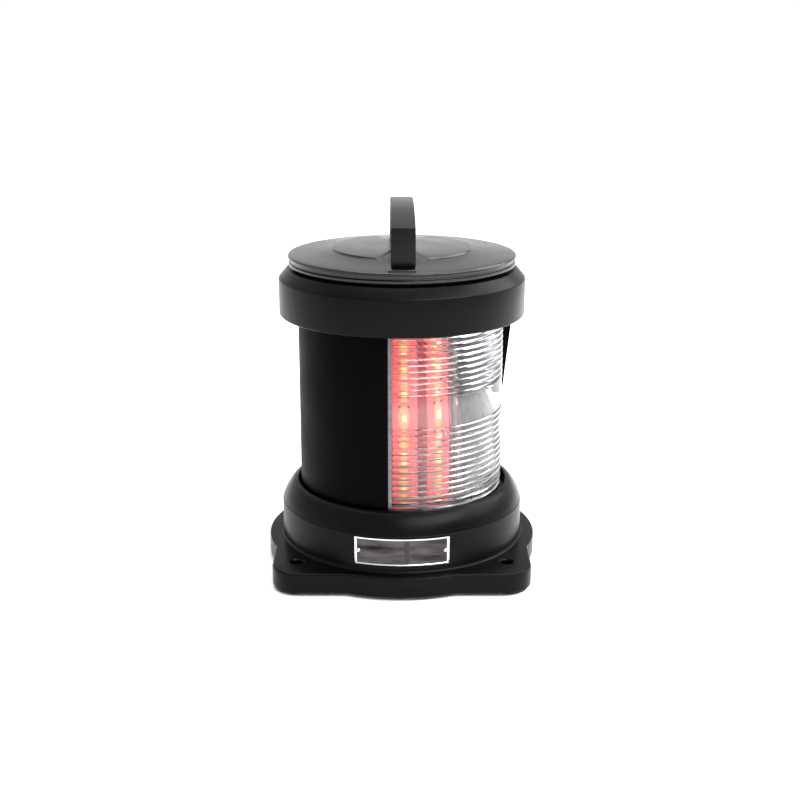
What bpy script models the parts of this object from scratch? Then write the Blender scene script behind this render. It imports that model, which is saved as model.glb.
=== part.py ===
"""Single-deck marine navigation side light (port), modelled in metres with +Z up.

The origin lies on the lantern's axis in the plane of the deck, under the foot pads. The front, with
the rating plate, faces -Y. Angles called bearings are counted from -Y towards +X, seen from above
anticlockwise, because the lit sector is laid out that way.
"""

import math

import bmesh
import bpy
from mathutils import Matrix, Vector

# Driving dimensions, metres
GAP = 0.0003  # clearance between neighbouring pieces
ROUND_SEGMENTS = 48
SMALL_SEGMENTS = 12

DECK_PAD_HEIGHT = 0.0027
FLANGE_BOTTOM = 0.0030
FLANGE_TOP = 0.0218
FLANGE_RADIUS = 0.1257
FLANGE_HALF_WIDTH = 0.1160
FLANGE_CORNER_RADIUS = 0.0260
FLANGE_TOE = 0.0002  # how far the sides toe in towards the ears
FLANGE_BORE_RADIUS = 0.0990
BOLT_X = 0.0940
BOLT_Y = 0.0870
BOLT_HOLE_RADIUS = 0.0055
PAD_X = 0.0945
PAD_Y = 0.0915
PAD_RADIUS = 0.0185

WALL_RADIUS = 0.1127
WALL_INNER_RADIUS = 0.1065
WALL_TOP = 0.0549
LIP_RADIUS = 0.0983
LIP_TOP = 0.0745
LIP_INNER_RADIUS = 0.0972
DECK_UNDERSIDE = 0.0570
DECK_TOP = 0.0630
WIRE_HOLE_RADIUS = 0.0120

LENS_RADIUS = 0.0931
LENS_THICKNESS = 0.0050
LENS_BOTTOM = 0.0663
LENS_TOP = 0.2360
SEAL_INNER_RADIUS = 0.0865
SEAL_OUTER_RADIUS = 0.0958

SCREEN_INNER_RADIUS = 0.0936
SCREEN_OUTER_RADIUS = 0.0949
WINDOW_START = math.radians(-7.3)
WINDOW_ANGLE = math.radians(112.5)
HEM_ANGLE = math.radians(1.9)  # the screen's bare forward hem, just inside the window
FIN_HEIGHT = 0.0135
FIN_FOOT = 0.1150
FIN_WIDTH = math.radians(1.6)

RING_RADIUS = 0.1120
RING_BOTTOM = 0.2330
RING_WALL_TOP = 0.2658
RING_TOP = 0.2748
RING_TOP_RADIUS = 0.1040
RING_SOCKET_RADIUS = 0.0973
RING_SOCKET_TOP = 0.2390
RING_SHELF_TOP = 0.2440
RING_SHELF_RADIUS = 0.0730
RING_THROAT_RADIUS = 0.0900
RING_LUG_BOTTOM = 0.2620
RING_LUG_TOP = 0.2670
RING_LUG_RADIUS = 0.0840
LUG_COUNT = 3
LUG_ROOT = 0.0015  # how far a lug reaches into the wall it stands on
RING_LUG_ANGLE = math.radians(40)

LID_RADIUS = 0.1034
LID_BOTTOM = 0.2778
LID_EDGE_TOP = 0.2871
LID_DISC_RADIUS = 0.0640
LID_DISC_STEP = 0.0016
LID_SHOULDER_RADIUS = 0.0900
LID_SHOULDER_TOP = 0.2884
LID_CROWN = 0.2911
LID_CENTRE = 0.2936
LID_RECESS_RADIUS = 0.0845
LID_RECESS_TOP = 0.2830
LID_RECESS_CROWN = 0.2880
SKIRT_RADIUS = 0.0825
SKIRT_INNER = 0.0790
SKIRT_BOTTOM = 0.2530
SKIRT_FLANGE = 0.0841
SKIRT_FLANGE_BOTTOM = 0.2797
LID_LUG_RADIUS = 0.0888
LID_LUG_TOP = 0.2590
LID_LUG_ANGLE = math.radians(36)
LID_SEAL_RADIUS = 0.0955
LID_SEAL_BEAD = 0.0016
LID_PAD_WIDTH = 0.0240
LID_PAD_TOP = 0.2893
LID_PAD_LENGTH = 0.0400
LID_PAD_REACH = 0.1012

HANDLE_WIDTH = 0.0210
HANDLE_THICKNESS = 0.0060
HANDLE_SPAN = 0.0900
HANDLE_CREASE = 0.3230
HANDLE_RISE = 0.0114
HANDLE_YAW = math.radians(0.7)

PLATE_HALF_ANGLE = math.radians(21.6)
PLATE_BOTTOM = 0.0282
PLATE_TOP = 0.0536
PLATE_THICKNESS = 0.0008
RIVET_ANGLE = math.radians(19.8)

BOARD_BEARINGS = [math.radians(a) for a in (2, 37, 72, 107)]
BOARD_WIDTH = 0.0240
BOARD_BOTTOM = 0.0760
BOARD_TOP = 0.2180
BOARD_THICKNESS = 0.0016
LED_PITCH = 0.0200
LED_COUNT = 7
LED_SIZE = 0.0050
LED_HEIGHT = 0.0012
COLUMN_RADIUS = 0.0520
COLUMN_BOTTOM = 0.0713
COLUMN_TOP = 0.2200
COLUMN_WALL = 0.0040

ROD_CIRCLE = 0.0800
ROD_BEARINGS = [math.radians(a) for a in (141, 240, 340)]
ROD_RADIUS = 0.0025

COVER_RADIUS = 0.1080
COVER_SCREW_CIRCLE = 0.0900
BOSS_RADIUS = 0.0060

GLAND_HEIGHT = 0.0390
GLAND_SEAT = 0.1150
GLAND_HEX = 0.0260
GLAND_THREAD_RADIUS = 0.0097
GLAND_BORE_RADIUS = 0.0065

HANDLE_SCREW_TOP = 0.3040
CARRIER_RADIUS = 0.0620
CARRIER_SCREW_CIRCLE = 0.0590
COVER_SCREW_HOLE = 0.0023
LOCKNUT_RADIUS = 0.0145

DRIVER_SIZE = (0.070, 0.042, 0.022)
TERMINAL_SIZE = (0.052, 0.018, 0.018)
LEAD_RADIUS = 0.0012
LEAD_SPACING = 0.0044
LEAD_ROUTE = [  # y and z from the terminal block, through the deck and up the column
    (0.0480, 0.0420), (0.0350, 0.0410), (0.0200, 0.0415), (0.0120, 0.0432), (0.0085, 0.0460),
    (0.0072, 0.0480), (0.0060, 0.0510), (0.0055, 0.0560), (0.0052, 0.0700), (0.0050, 0.1000),
    (0.0040, 0.1300),
]

FRONT = -math.pi / 2  # the angle from +X at which bearing 0 lies


def start_clean():
    """Empty the scene and make the two collections, one for parts and one for cutters."""
    for obj in list(bpy.data.objects):
        bpy.data.objects.remove(obj, do_unlink=True)
    made = []
    for name in ("navigation_light", "cutters"):
        collection = bpy.data.collections.new(name)
        bpy.context.scene.collection.children.link(collection)
        made.append(collection)
    return made


PARTS, CUTTERS = start_clean()


def material(name, colour, roughness, metallic=0.0, transmission=0.0, glow=0.0):
    """A Principled material with one colour."""
    made = bpy.data.materials.new(name)
    made.use_nodes = True
    shader = made.node_tree.nodes["Principled BSDF"]
    shader.inputs["Base Color"].default_value = (*colour, 1.0)
    shader.inputs["Roughness"].default_value = roughness
    shader.inputs["Metallic"].default_value = metallic
    shader.inputs["Transmission Weight"].default_value = transmission
    shader.inputs["Emission Color"].default_value = (*colour, 1.0)
    shader.inputs["Emission Strength"].default_value = glow
    return made


NYLON = material("black_nylon", (0.012, 0.012, 0.013), 0.42)
GLOSS_NYLON = material("gloss_black_nylon", (0.012, 0.012, 0.013), 0.3)
SCREEN_PAINT = material("black_screen_paint", (0.006, 0.006, 0.006), 0.5)
CLEAR = material("clear_polycarbonate", (0.9, 0.92, 0.93), 0.05, transmission=1.0)
RUBBER = material("black_rubber", (0.02, 0.02, 0.02), 0.8)
STEEL = material("stainless_steel", (0.6, 0.6, 0.58), 0.3, metallic=1.0)
ALUMINIUM = material("aluminium", (0.75, 0.75, 0.76), 0.35, metallic=1.0)
PLATE_METAL = material("plate_metal", (0.35, 0.34, 0.34), 0.25, metallic=1.0)
BOARD_WHITE = material("white_circuit_board", (0.8, 0.45, 0.42), 0.4, glow=0.2)
DRIVER_GREY = material("grey_plastic", (0.25, 0.25, 0.26), 0.5)
TERMINAL_CREAM = material("cream_plastic", (0.7, 0.68, 0.6), 0.5)
LEAD_RED = material("red_pvc", (0.5, 0.02, 0.02), 0.5)
LEAD_BLACK = material("black_pvc", (0.02, 0.02, 0.02), 0.5)


def place(name, mesh, surface=None):
    """Link a mesh as a part, or as a cutter where it has no material."""
    obj = bpy.data.objects.new(name, mesh)
    if surface is None:
        CUTTERS.objects.link(obj)
        obj.hide_render = True
        obj.display_type = "WIRE"
    else:
        PARTS.objects.link(obj)
        mesh.materials.append(surface)
    return obj


def smooth(obj, angle=math.radians(35)):
    """Shade a mesh smooth, apart from edges sharper than the angle."""
    obj.data.shade_smooth()
    obj.data.set_sharp_from_angle(angle=angle)
    return obj


def polar(radius, bearing, height=0.0):
    """The point at a radius and a bearing."""
    angle = FRONT + bearing
    return Vector((radius * math.cos(angle), radius * math.sin(angle), height))


def turned(name, profile, surface=None, segments=ROUND_SEGMENTS, closed=True, matrix=None):
    """A profile of (radius, height) points turned about Z. It runs down the outer side, top to bottom."""
    mesh = bpy.data.meshes.new(name)
    points = [(radius, 0.0, height) for radius, height in profile]
    edges = [(i, i + 1) for i in range(len(points) - 1)]
    if closed:
        edges.append((len(points) - 1, 0))
    mesh.from_pydata(points, edges, [])
    obj = place(name, mesh, surface)
    screw = obj.modifiers.new("turn", "SCREW")
    screw.steps = screw.render_steps = segments
    screw.use_merge_vertices = True
    screw.merge_threshold = 0.00001
    screw.use_smooth_shade = True
    if matrix is not None:
        obj.matrix_world = matrix
    return obj


def outline_plate(name, outlines, bottom, top, surface=None):
    """A flat plate with the given outlines (the first is the rim, the others are holes), as a mesh."""
    curve = bpy.data.curves.new(name, "CURVE")
    curve.dimensions = "2D"
    curve.fill_mode = "BOTH"
    curve.extrude = (top - bottom) / 2
    for outline in outlines:
        spline = curve.splines.new("POLY")
        spline.points.add(len(outline) - 1)
        for point, (x, y) in zip(spline.points, outline):
            point.co = (x, y, 0.0, 1.0)
        spline.use_cyclic_u = True
    guide = bpy.data.objects.new(name, curve)
    bpy.context.scene.collection.objects.link(guide)
    guide.location.z = (top + bottom) / 2
    return curve_to_mesh(guide, surface)


def curve_to_mesh(guide, surface=None):
    """Turn a curve object into a welded mesh object of the same name and place."""
    bpy.context.view_layer.update()
    name = guide.name
    evaluated = guide.evaluated_get(bpy.context.evaluated_depsgraph_get())
    mesh = bpy.data.meshes.new_from_object(evaluated)
    matrix = guide.matrix_world.copy()
    bpy.data.objects.remove(guide, do_unlink=True)
    shape = bmesh.new()
    shape.from_mesh(mesh)
    bmesh.ops.remove_doubles(shape, verts=shape.verts, dist=0.00001)
    bmesh.ops.transform(shape, matrix=matrix, verts=shape.verts)
    bmesh.ops.recalc_face_normals(shape, faces=shape.faces)
    shape.to_mesh(mesh)
    shape.free()
    mesh.materials.clear()
    return place(name, mesh, surface)


def circle(radius, x=0.0, y=0.0, segments=ROUND_SEGMENTS):
    """Points round a circle."""
    angles = [2 * math.pi * i / segments for i in range(segments)]
    return [(x + radius * math.cos(a), y + radius * math.sin(a)) for a in angles]


def arc(radius, start, end, steps):
    """Points along an arc between two bearings."""
    points = []
    for i in range(steps + 1):
        spot = polar(radius, start + (end - start) * i / steps)
        points.append((spot.x, spot.y))
    return points


def arc_plate(name, inner, outer, start, end, bottom, top, surface=None, steps=12):
    """A curved wall between two radii and two bearings."""
    outline = arc(outer, start, end, steps) + list(reversed(arc(inner, start, end, steps)))
    return outline_plate(name, [outline], bottom, top, surface)


def block(name, size, centre, surface=None, turn=0.0):
    """A box of the given size about a centre, turned about Z."""
    shape = bmesh.new()
    bmesh.ops.create_cube(shape, size=1.0)
    scaled = Matrix.Diagonal((*size, 1.0))
    bmesh.ops.transform(shape, matrix=Matrix.Rotation(turn, 4, "Z") @ scaled, verts=shape.verts)
    bmesh.ops.translate(shape, vec=centre, verts=shape.verts)
    mesh = bpy.data.meshes.new(name)
    shape.to_mesh(mesh)
    shape.free()
    return place(name, mesh, surface)


def rod(name, radius, start, end, surface=None, segments=SMALL_SEGMENTS):
    """A straight cylinder, or a prism with few segments, between two points."""
    start = Vector(start)
    along = Vector(end) - start
    turn = along.to_track_quat("Z", "Y").to_matrix().to_4x4()
    middle = Matrix.Translation(start + along / 2)
    shape = bmesh.new()
    bmesh.ops.create_cone(
        shape, cap_ends=True, segments=segments, radius1=radius, radius2=radius, depth=along.length
    )
    bmesh.ops.transform(shape, matrix=middle @ turn, verts=shape.verts)
    mesh = bpy.data.meshes.new(name)
    shape.to_mesh(mesh)
    shape.free()
    return smooth(place(name, mesh, surface))


def wire(name, points, radius, surface):
    """A round wire through the points."""
    curve = bpy.data.curves.new(name, "CURVE")
    curve.dimensions = "3D"
    curve.bevel_depth = radius
    curve.bevel_resolution = 1
    curve.use_fill_caps = True
    spline = curve.splines.new("POLY")
    spline.points.add(len(points) - 1)
    for point, co in zip(spline.points, points):
        point.co = (*co, 1.0)
    obj = bpy.data.objects.new(name, curve)
    curve.materials.append(surface)
    PARTS.objects.link(obj)
    return obj


def combine(obj, other, operation):
    """Join another mesh to a piece, cut it away, or keep only what they share."""
    boolean = obj.modifiers.new(f"{operation.lower()}_{other.name}", "BOOLEAN")
    boolean.operation = operation
    boolean.object = other
    return obj


def join(obj, *others):
    """Unite the other meshes with a piece."""
    for other in others:
        combine(obj, other, "UNION")
    return obj


def cut(obj, *others):
    """Cut the other meshes out of a piece."""
    for other in others:
        combine(obj, other, "DIFFERENCE")
    return obj


def ears():
    """The signs of x and y of the four ears."""
    return [(sx, sy) for sx in (1, -1) for sy in (1, -1)]


def flange_outline(lobe_steps=12, corner_steps=8):
    """A rounded square, toed in a little at its ears, with a larger circle's lobes through its sides."""
    lobe = math.acos(FLANGE_HALF_WIDTH / FLANGE_RADIUS)
    corner = FLANGE_HALF_WIDTH - FLANGE_TOE - FLANGE_CORNER_RADIUS
    points = []
    for quarter in range(4):
        turn = Matrix.Rotation(quarter * math.pi / 2, 2)
        for i in range(lobe_steps + 1):
            angle = lobe * (2 * i / lobe_steps - 1)
            points.append(turn @ Vector((math.cos(angle), math.sin(angle))) * FLANGE_RADIUS)
        for i in range(corner_steps + 1):
            angle = math.pi / 2 * i / corner_steps
            offset = Vector((math.cos(angle), math.sin(angle))) * FLANGE_CORNER_RADIUS
            points.append(turn @ (Vector((corner, corner)) + offset))
    return [tuple(point) for point in points]


def side_matrix(y, z=GLAND_HEIGHT):
    """Places a shape turned about Z so that its axis runs to the rear, along +Y."""
    return Matrix.Translation((0.0, y, z)) @ Matrix.Rotation(-math.pi / 2, 4, "X")


def mounting_base():
    """The moulded base: a four-eared flange, a round wall with a sloping shoulder, and the inner deck."""
    base = turned(
        "mounting_base",
        [
            (LIP_RADIUS, LIP_TOP),
            (0.1015, 0.0732),
            (0.1044, 0.0705),
            (0.1100, 0.0625),
            (0.1120, 0.0585),
            (WALL_RADIUS, WALL_TOP),
            (WALL_RADIUS, 0.0080),
            (FLANGE_BORE_RADIUS + 0.0030, 0.0080),
            (FLANGE_BORE_RADIUS + 0.0030, 0.0170),
            (WALL_INNER_RADIUS, 0.0230),
            (WALL_INNER_RADIUS, DECK_UNDERSIDE - 0.0030),
            (WALL_INNER_RADIUS - 0.0030, DECK_UNDERSIDE),
            (WIRE_HOLE_RADIUS, DECK_UNDERSIDE),
            (WIRE_HOLE_RADIUS, DECK_TOP),
            (LIP_INNER_RADIUS, DECK_TOP),
            (LIP_INNER_RADIUS, LIP_TOP - 0.0008),
        ],
        NYLON,
    )
    flange = outline_plate(
        "base_flange", [flange_outline(), circle(FLANGE_BORE_RADIUS)], FLANGE_BOTTOM, FLANGE_TOP
    )
    bosses = [
        rod("base_boss", BOSS_RADIUS, polar(COVER_SCREW_CIRCLE, b, FLANGE_BOTTOM),
            polar(COVER_SCREW_CIRCLE, b, DECK_UNDERSIDE + 0.002))
        for b in cover_screw_bearings()
    ]
    gland_boss = rod("base_gland_boss", 0.0160, (0, WALL_INNER_RADIUS - 0.003, GLAND_HEIGHT),
                     (0, GLAND_SEAT, GLAND_HEIGHT), segments=24)
    join(base, flange, *bosses, gland_boss)
    holes = []
    for sx, sy in ears():
        x, y = sx * BOLT_X, sy * BOLT_Y
        holes.append(rod("bolt_hole", BOLT_HOLE_RADIUS, (x, y, -0.01), (x, y, 0.04)))
    for bearing in cover_screw_bearings():
        below = polar(COVER_SCREW_CIRCLE, bearing, -0.01)
        holes.append(rod("cover_screw_hole", COVER_SCREW_HOLE, below, below + Vector((0, 0, 0.030))))
    for bearing in ROD_BEARINGS:
        below = polar(ROD_CIRCLE, bearing, DECK_UNDERSIDE - 0.007)
        holes.append(rod("rod_hole", ROD_RADIUS + GAP, below, below + Vector((0, 0, 0.020))))
    holes.append(rod("gland_hole", GLAND_THREAD_RADIUS + 2 * GAP, (0, 0.095, GLAND_HEIGHT),
                     (0, 0.125, GLAND_HEIGHT), segments=24))
    groove = turned("cover_seal_groove", ring_profile(0.1018, 0.1058, 0.0010, 0.0048))
    return cut(base, *holes, groove)


def ring_profile(inner, outer, bottom, top):
    """A rectangle to turn into a ring."""
    return [(outer, top), (outer, bottom), (inner, bottom), (inner, top)]


def cover_screw_bearings():
    """The bearings of the four bottom cover screws."""
    return [math.radians(45 + 90 * i) for i in range(4)]


def bottom_cover():
    """The round cover under the base, flush with the foot pads, and what seals and holds it."""
    cover = turned(
        "bottom_cover",
        [(0.0, DECK_PAD_HEIGHT), (COVER_RADIUS, DECK_PAD_HEIGHT), (COVER_RADIUS, 0.0), (0.0, 0.0)],
        NYLON,
        closed=False,
    )
    turned(
        "bottom_cover_seal",
        ring_profile(0.1021, 0.1055, FLANGE_BOTTOM, 0.0045),
        RUBBER,
    )
    for i, bearing in enumerate(cover_screw_bearings()):
        spot = polar(COVER_SCREW_CIRCLE, bearing)
        cut(cover, turned(
            f"countersink_{i + 1}",
            [(0.0, 0.004), (0.0023, 0.004), (0.0023, 0.0019), (0.0047, -0.0005), (0.0, -0.0005)],
            segments=SMALL_SEGMENTS, closed=False, matrix=Matrix.Translation(spot),
        ))
        turned(
            f"cover_screw_{i + 1}",
            [(0.0, 0.0160), (0.0018, 0.0160), (0.0019, 0.0020), (0.0037, 0.0002), (0.0, 0.0002)],
            STEEL, segments=12, closed=False, matrix=Matrix.Translation(spot),
        )


def foot_pads():
    """A rubber pad under each ear, with the bolt hole through it."""
    for i, (sx, sy) in enumerate(ears()):
        outlines = [
            circle(PAD_RADIUS, sx * PAD_X, sy * PAD_Y, segments=24),
            circle(BOLT_HOLE_RADIUS + 0.0005, sx * BOLT_X, sy * BOLT_Y, segments=SMALL_SEGMENTS),
        ]
        outline_plate(f"foot_pad_{i + 1}", outlines, 0.0, DECK_PAD_HEIGHT, RUBBER)


def cable_gland():
    """The cable gland at the rear: body, inner locknut, seal and cap nut."""
    bore = GLAND_BORE_RADIUS
    body = turned(
        "gland_body",
        [
            (GLAND_THREAD_RADIUS, 0.0190),
            (GLAND_THREAD_RADIUS, -0.0180),
            (bore, -0.0180),
            (bore, 0.0190),
        ],
        NYLON, segments=24, matrix=side_matrix(GLAND_SEAT),
    )
    join(body, rod("gland_hex", GLAND_HEX / math.sqrt(3), (0, GLAND_SEAT + GAP, GLAND_HEIGHT),
                   (0, GLAND_SEAT + 0.0043, GLAND_HEIGHT), segments=6))
    cut(body, rod("gland_bore", bore, (0, 0.09, GLAND_HEIGHT), (0, 0.15, GLAND_HEIGHT), segments=24))
    turned(
        "gland_seal", ring_profile(0.0040, bore - GAP, 0.0110, 0.0185), RUBBER, segments=24,
        matrix=side_matrix(GLAND_SEAT),
    )
    inner = GLAND_THREAD_RADIUS + GAP
    nut = turned(
        "gland_nut",
        [(0.0075, 0.0265), (0.0115, 0.0225), (0.0118, 0.0060), (inner, 0.0060), (inner, 0.0205),
         (0.0050, 0.0225), (0.0050, 0.0265)],
        NYLON, segments=24, matrix=side_matrix(GLAND_SEAT),
    )
    ring = rod("nut_hex", GLAND_HEX / math.sqrt(3), (0, GLAND_SEAT + 0.0062, GLAND_HEIGHT),
               (0, GLAND_SEAT + 0.0165, GLAND_HEIGHT), segments=6)
    cut(ring, rod("nut_hex_bore", 0.0105, (0, 0.11, GLAND_HEIGHT), (0, 0.14, GLAND_HEIGHT), segments=24))
    join(nut, ring)
    locknut = rod(
        "gland_locknut", LOCKNUT_RADIUS, (0, 0.0985, GLAND_HEIGHT), (0, 0.1025, GLAND_HEIGHT), NYLON, segments=6
    )
    cut(locknut, rod("locknut_hole", inner, (0, 0.09, GLAND_HEIGHT), (0, 0.11, GLAND_HEIGHT), segments=24))


def rating_plate():
    """The curved metal rating plate on the front wall, with a rivet at each end."""
    inner = WALL_RADIUS + GAP
    plate = arc_plate(
        "rating_plate", inner, inner + PLATE_THICKNESS, -PLATE_HALF_ANGLE, PLATE_HALF_ANGLE,
        PLATE_BOTTOM, PLATE_TOP, PLATE_METAL, steps=16,
    )
    height = (PLATE_BOTTOM + PLATE_TOP) / 2
    for i, bearing in enumerate((-RIVET_ANGLE, RIVET_ANGLE)):
        cut(plate, rod("rivet_hole", 0.0015, polar(0.11, bearing, height), polar(0.12, bearing, height)))
        outward = Matrix.Rotation(FRONT + bearing, 4, "Z") @ Matrix.Rotation(math.pi / 2, 4, "Y")
        turned(
            f"plate_rivet_{i + 1}",
            [
                (0.0, 0.0023),
                (0.0014, 0.0020),
                (0.0021, 0.0012),
                (0.0011, 0.0012),
                (0.0011, 0.0001),
                (0.0, 0.0001),
            ],
            ALUMINIUM, segments=12, closed=False,
            matrix=Matrix.Translation(polar(inner, bearing, height)) @ outward,
        )


def lens_and_seals():
    """The clear drum lens between its two rubber seals."""
    turned(
        "lens", ring_profile(LENS_RADIUS - LENS_THICKNESS, LENS_RADIUS, LENS_BOTTOM, LENS_TOP), CLEAR,
    )
    seats = (("lower", DECK_TOP, LENS_BOTTOM), ("upper", LENS_TOP, RING_SOCKET_TOP))
    for name, bottom, top in seats:
        ring = ring_profile(SEAL_INNER_RADIUS, SEAL_OUTER_RADIUS, bottom + GAP, top - GAP)
        turned(f"{name}_lens_seal", ring, RUBBER, segments=32)


def screen():
    """The black screen round the dark sector, with a tapering fin on its aft edge."""
    start = WINDOW_START + WINDOW_ANGLE
    end = WINDOW_START + HEM_ANGLE + 2 * math.pi
    shell = arc_plate(
        "sector_screen", SCREEN_INNER_RADIUS, SCREEN_OUTER_RADIUS, start, end,
        LENS_BOTTOM, LENS_TOP, SCREEN_PAINT, steps=48,
    )
    fin = arc_plate("screen_fin", SCREEN_INNER_RADIUS + 0.0004, SCREEN_OUTER_RADIUS + FIN_HEIGHT,
                    start + 0.0005, start + FIN_WIDTH, FIN_FOOT, RING_BOTTOM - 0.0015, steps=2)
    slope = bmesh.new()
    slope.from_mesh(fin.data)
    reach = SCREEN_OUTER_RADIUS + FIN_HEIGHT
    for vert in slope.verts:
        radius = vert.co.xy.length
        if radius > SCREEN_OUTER_RADIUS and vert.co.z < (FIN_FOOT + RING_BOTTOM) / 2:
            vert.co.xy *= (SCREEN_OUTER_RADIUS + 0.0004) / reach
    slope.to_mesh(fin.data)
    slope.free()
    join(shell, fin)


def cap_ring():
    """The heavy ring on top of the lens, with the bayonet lugs in its throat."""
    ring = turned(
        "cap_ring",
        [
            (RING_TOP_RADIUS, RING_TOP),
            (RING_RADIUS, RING_WALL_TOP),
            (RING_RADIUS, RING_BOTTOM + 0.0015),
            (RING_RADIUS - 0.0015, RING_BOTTOM),
            (RING_SOCKET_RADIUS, RING_BOTTOM),
            (RING_SOCKET_RADIUS, RING_SOCKET_TOP),
            (RING_SHELF_RADIUS, RING_SOCKET_TOP),
            (RING_SHELF_RADIUS, RING_SHELF_TOP),
            (RING_THROAT_RADIUS, RING_SHELF_TOP),
            (RING_THROAT_RADIUS, RING_TOP),
        ],
        NYLON,
    )
    for i in range(LUG_COUNT):
        middle = 2 * math.pi * i / LUG_COUNT
        join(ring, arc_plate(
            "ring_lug", RING_LUG_RADIUS, RING_THROAT_RADIUS + LUG_ROOT, middle - RING_LUG_ANGLE / 2,
            middle + RING_LUG_ANGLE / 2, RING_LUG_BOTTOM, RING_LUG_TOP, steps=5,
        ))
    for bearing in ROD_BEARINGS:
        cut(ring, rod("ring_rod_hole", ROD_RADIUS + GAP, polar(ROD_CIRCLE, bearing, 0.23),
                      polar(ROD_CIRCLE, bearing, 0.25)))


def lid():
    """The bayonet lid: a gently domed cap with a raised disc, a grooved rim and a lugged skirt."""
    cap = turned(
        "lid",
        [
            (0.0, LID_CENTRE),
            (LID_DISC_RADIUS / 2, LID_CENTRE - 0.0003),
            (LID_DISC_RADIUS - 0.0006, LID_CROWN + LID_DISC_STEP),
            (LID_DISC_RADIUS, LID_CROWN),
            (LID_SHOULDER_RADIUS, LID_SHOULDER_TOP),
            (LID_RADIUS - 0.0012, LID_EDGE_TOP),
            (LID_RADIUS, LID_EDGE_TOP - 0.0012),
            (LID_RADIUS, 0.2834),
            (LID_RADIUS - 0.0022, 0.2826),
            (LID_RADIUS - 0.0022, 0.2808),
            (LID_RADIUS - 0.0008, 0.2800),
            (LID_RADIUS - 0.0008, LID_BOTTOM),
            (0.0980, LID_BOTTOM),
            (0.0955, 0.2799),
            (0.0930, LID_BOTTOM),
            (LID_RECESS_RADIUS, LID_BOTTOM),
            (LID_RECESS_RADIUS, LID_RECESS_TOP),
            (0.0, LID_RECESS_CROWN),
        ],
        GLOSS_NYLON,
        closed=False,
    )
    for side in (1, -1):
        seat = side * (HANDLE_SPAN - HANDLE_THICKNESS / 2)
        join(cap, block("lid_pad", (LID_PAD_WIDTH, LID_PAD_LENGTH, 0.0040),
                        (0.0, side * (LID_PAD_REACH - LID_PAD_LENGTH / 2), LID_PAD_TOP - 0.0020)))
        cut(cap, rod("handle_screw_hole", 0.0021, (0, seat, 0.27), (0, seat, 0.30)))
    bead = LID_SEAL_BEAD
    turned(
        "lid_seal",
        [(LID_SEAL_RADIUS + bead * math.sin(a), 0.0004 + RING_TOP + bead + bead * math.cos(a))
         for a in (2 * math.pi * i / 6 for i in range(6))],
        RUBBER, segments=40,
    )


def bayonet_skirt():
    """The lugged skirt that is bonded into the recess under the lid."""
    skirt = turned(
        "bayonet_skirt",
        [
            (SKIRT_FLANGE, LID_RECESS_TOP - GAP),
            (SKIRT_FLANGE, SKIRT_FLANGE_BOTTOM),
            (SKIRT_RADIUS, SKIRT_FLANGE_BOTTOM),
            (SKIRT_RADIUS, SKIRT_BOTTOM),
            (SKIRT_INNER, SKIRT_BOTTOM),
            (SKIRT_INNER, LID_RECESS_TOP - GAP),
        ],
        NYLON,
    )
    for i in range(LUG_COUNT):
        middle = 2 * math.pi * (i + 0.5) / LUG_COUNT
        join(skirt, arc_plate(
            "skirt_lug", SKIRT_RADIUS - LUG_ROOT, LID_LUG_RADIUS, middle - LID_LUG_ANGLE / 2,
            middle + LID_LUG_ANGLE / 2, SKIRT_BOTTOM + 0.0010, LID_LUG_TOP, steps=5,
        ))


def handle():
    """The strap handle that stands across the lid from front to rear, and the screws that hold it."""
    steps = 16
    half = HANDLE_SPAN
    foot = LID_PAD_TOP + GAP
    inner_half = half - HANDLE_THICKNESS
    outer = [(half, foot)]
    inner = [(inner_half, foot)]
    for i in range(steps + 1):
        t = 1 - 2 * i / steps
        outer.append((half * t, HANDLE_CREASE + HANDLE_RISE * (1 - t * t)))
        inner.append((inner_half * t, HANDLE_CREASE - HANDLE_THICKNESS + HANDLE_RISE * (1 - t * t)))
    outer.append((-half, foot))
    inner.append((-inner_half, foot))
    strap = outline_plate(
        "handle", [outer + list(reversed(inner))], -HANDLE_WIDTH / 2, HANDLE_WIDTH / 2, NYLON
    )
    upright = Matrix(((0, 0, 1, 0), (1, 0, 0, 0), (0, 1, 0, 0), (0, 0, 0, 1)))
    strap.data.transform(Matrix.Rotation(HANDLE_YAW, 4, "Z") @ upright)
    for i, side in enumerate((1, -1)):
        seat = side * (half - HANDLE_THICKNESS / 2)
        cut(strap, rod("handle_thread", 0.0021, (0, seat, 0.28), (0, seat, 0.3060)))
        turned(
            f"handle_screw_{i + 1}",
            [
                (0.0, HANDLE_SCREW_TOP),
                (0.0018, HANDLE_SCREW_TOP),
                (0.0018, LID_BOTTOM - GAP),
                (0.0034, LID_BOTTOM - GAP),
                (0.0034, LID_BOTTOM - 0.0023),
                (0.0, LID_BOTTOM - 0.0023),
            ],
            STEEL, segments=12, closed=False, matrix=Matrix.Translation((0, seat, 0)),
        )


def tie_rods():
    """The rods that clamp the lens between base and ring, all outside the lit sector."""
    for i, bearing in enumerate(ROD_BEARINGS):
        rod(f"tie_rod_{i + 1}", ROD_RADIUS, polar(ROD_CIRCLE, bearing, 0.0515),
            polar(ROD_CIRCLE, bearing, 0.2505), STEEL, segments=12)
        nuts = (("lower", 0.0523, DECK_UNDERSIDE - GAP), ("upper", RING_SHELF_TOP + GAP, 0.2483))
        for name, bottom, top in nuts:
            nut = rod(f"{name}_rod_nut_{i + 1}", 0.0046, polar(ROD_CIRCLE, bearing, bottom),
                      polar(ROD_CIRCLE, bearing, top), STEEL, segments=6)
            cut(nut, rod("nut_thread", ROD_RADIUS + GAP, polar(ROD_CIRCLE, bearing, bottom - 0.002),
                         polar(ROD_CIRCLE, bearing, top + 0.002)))


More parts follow.
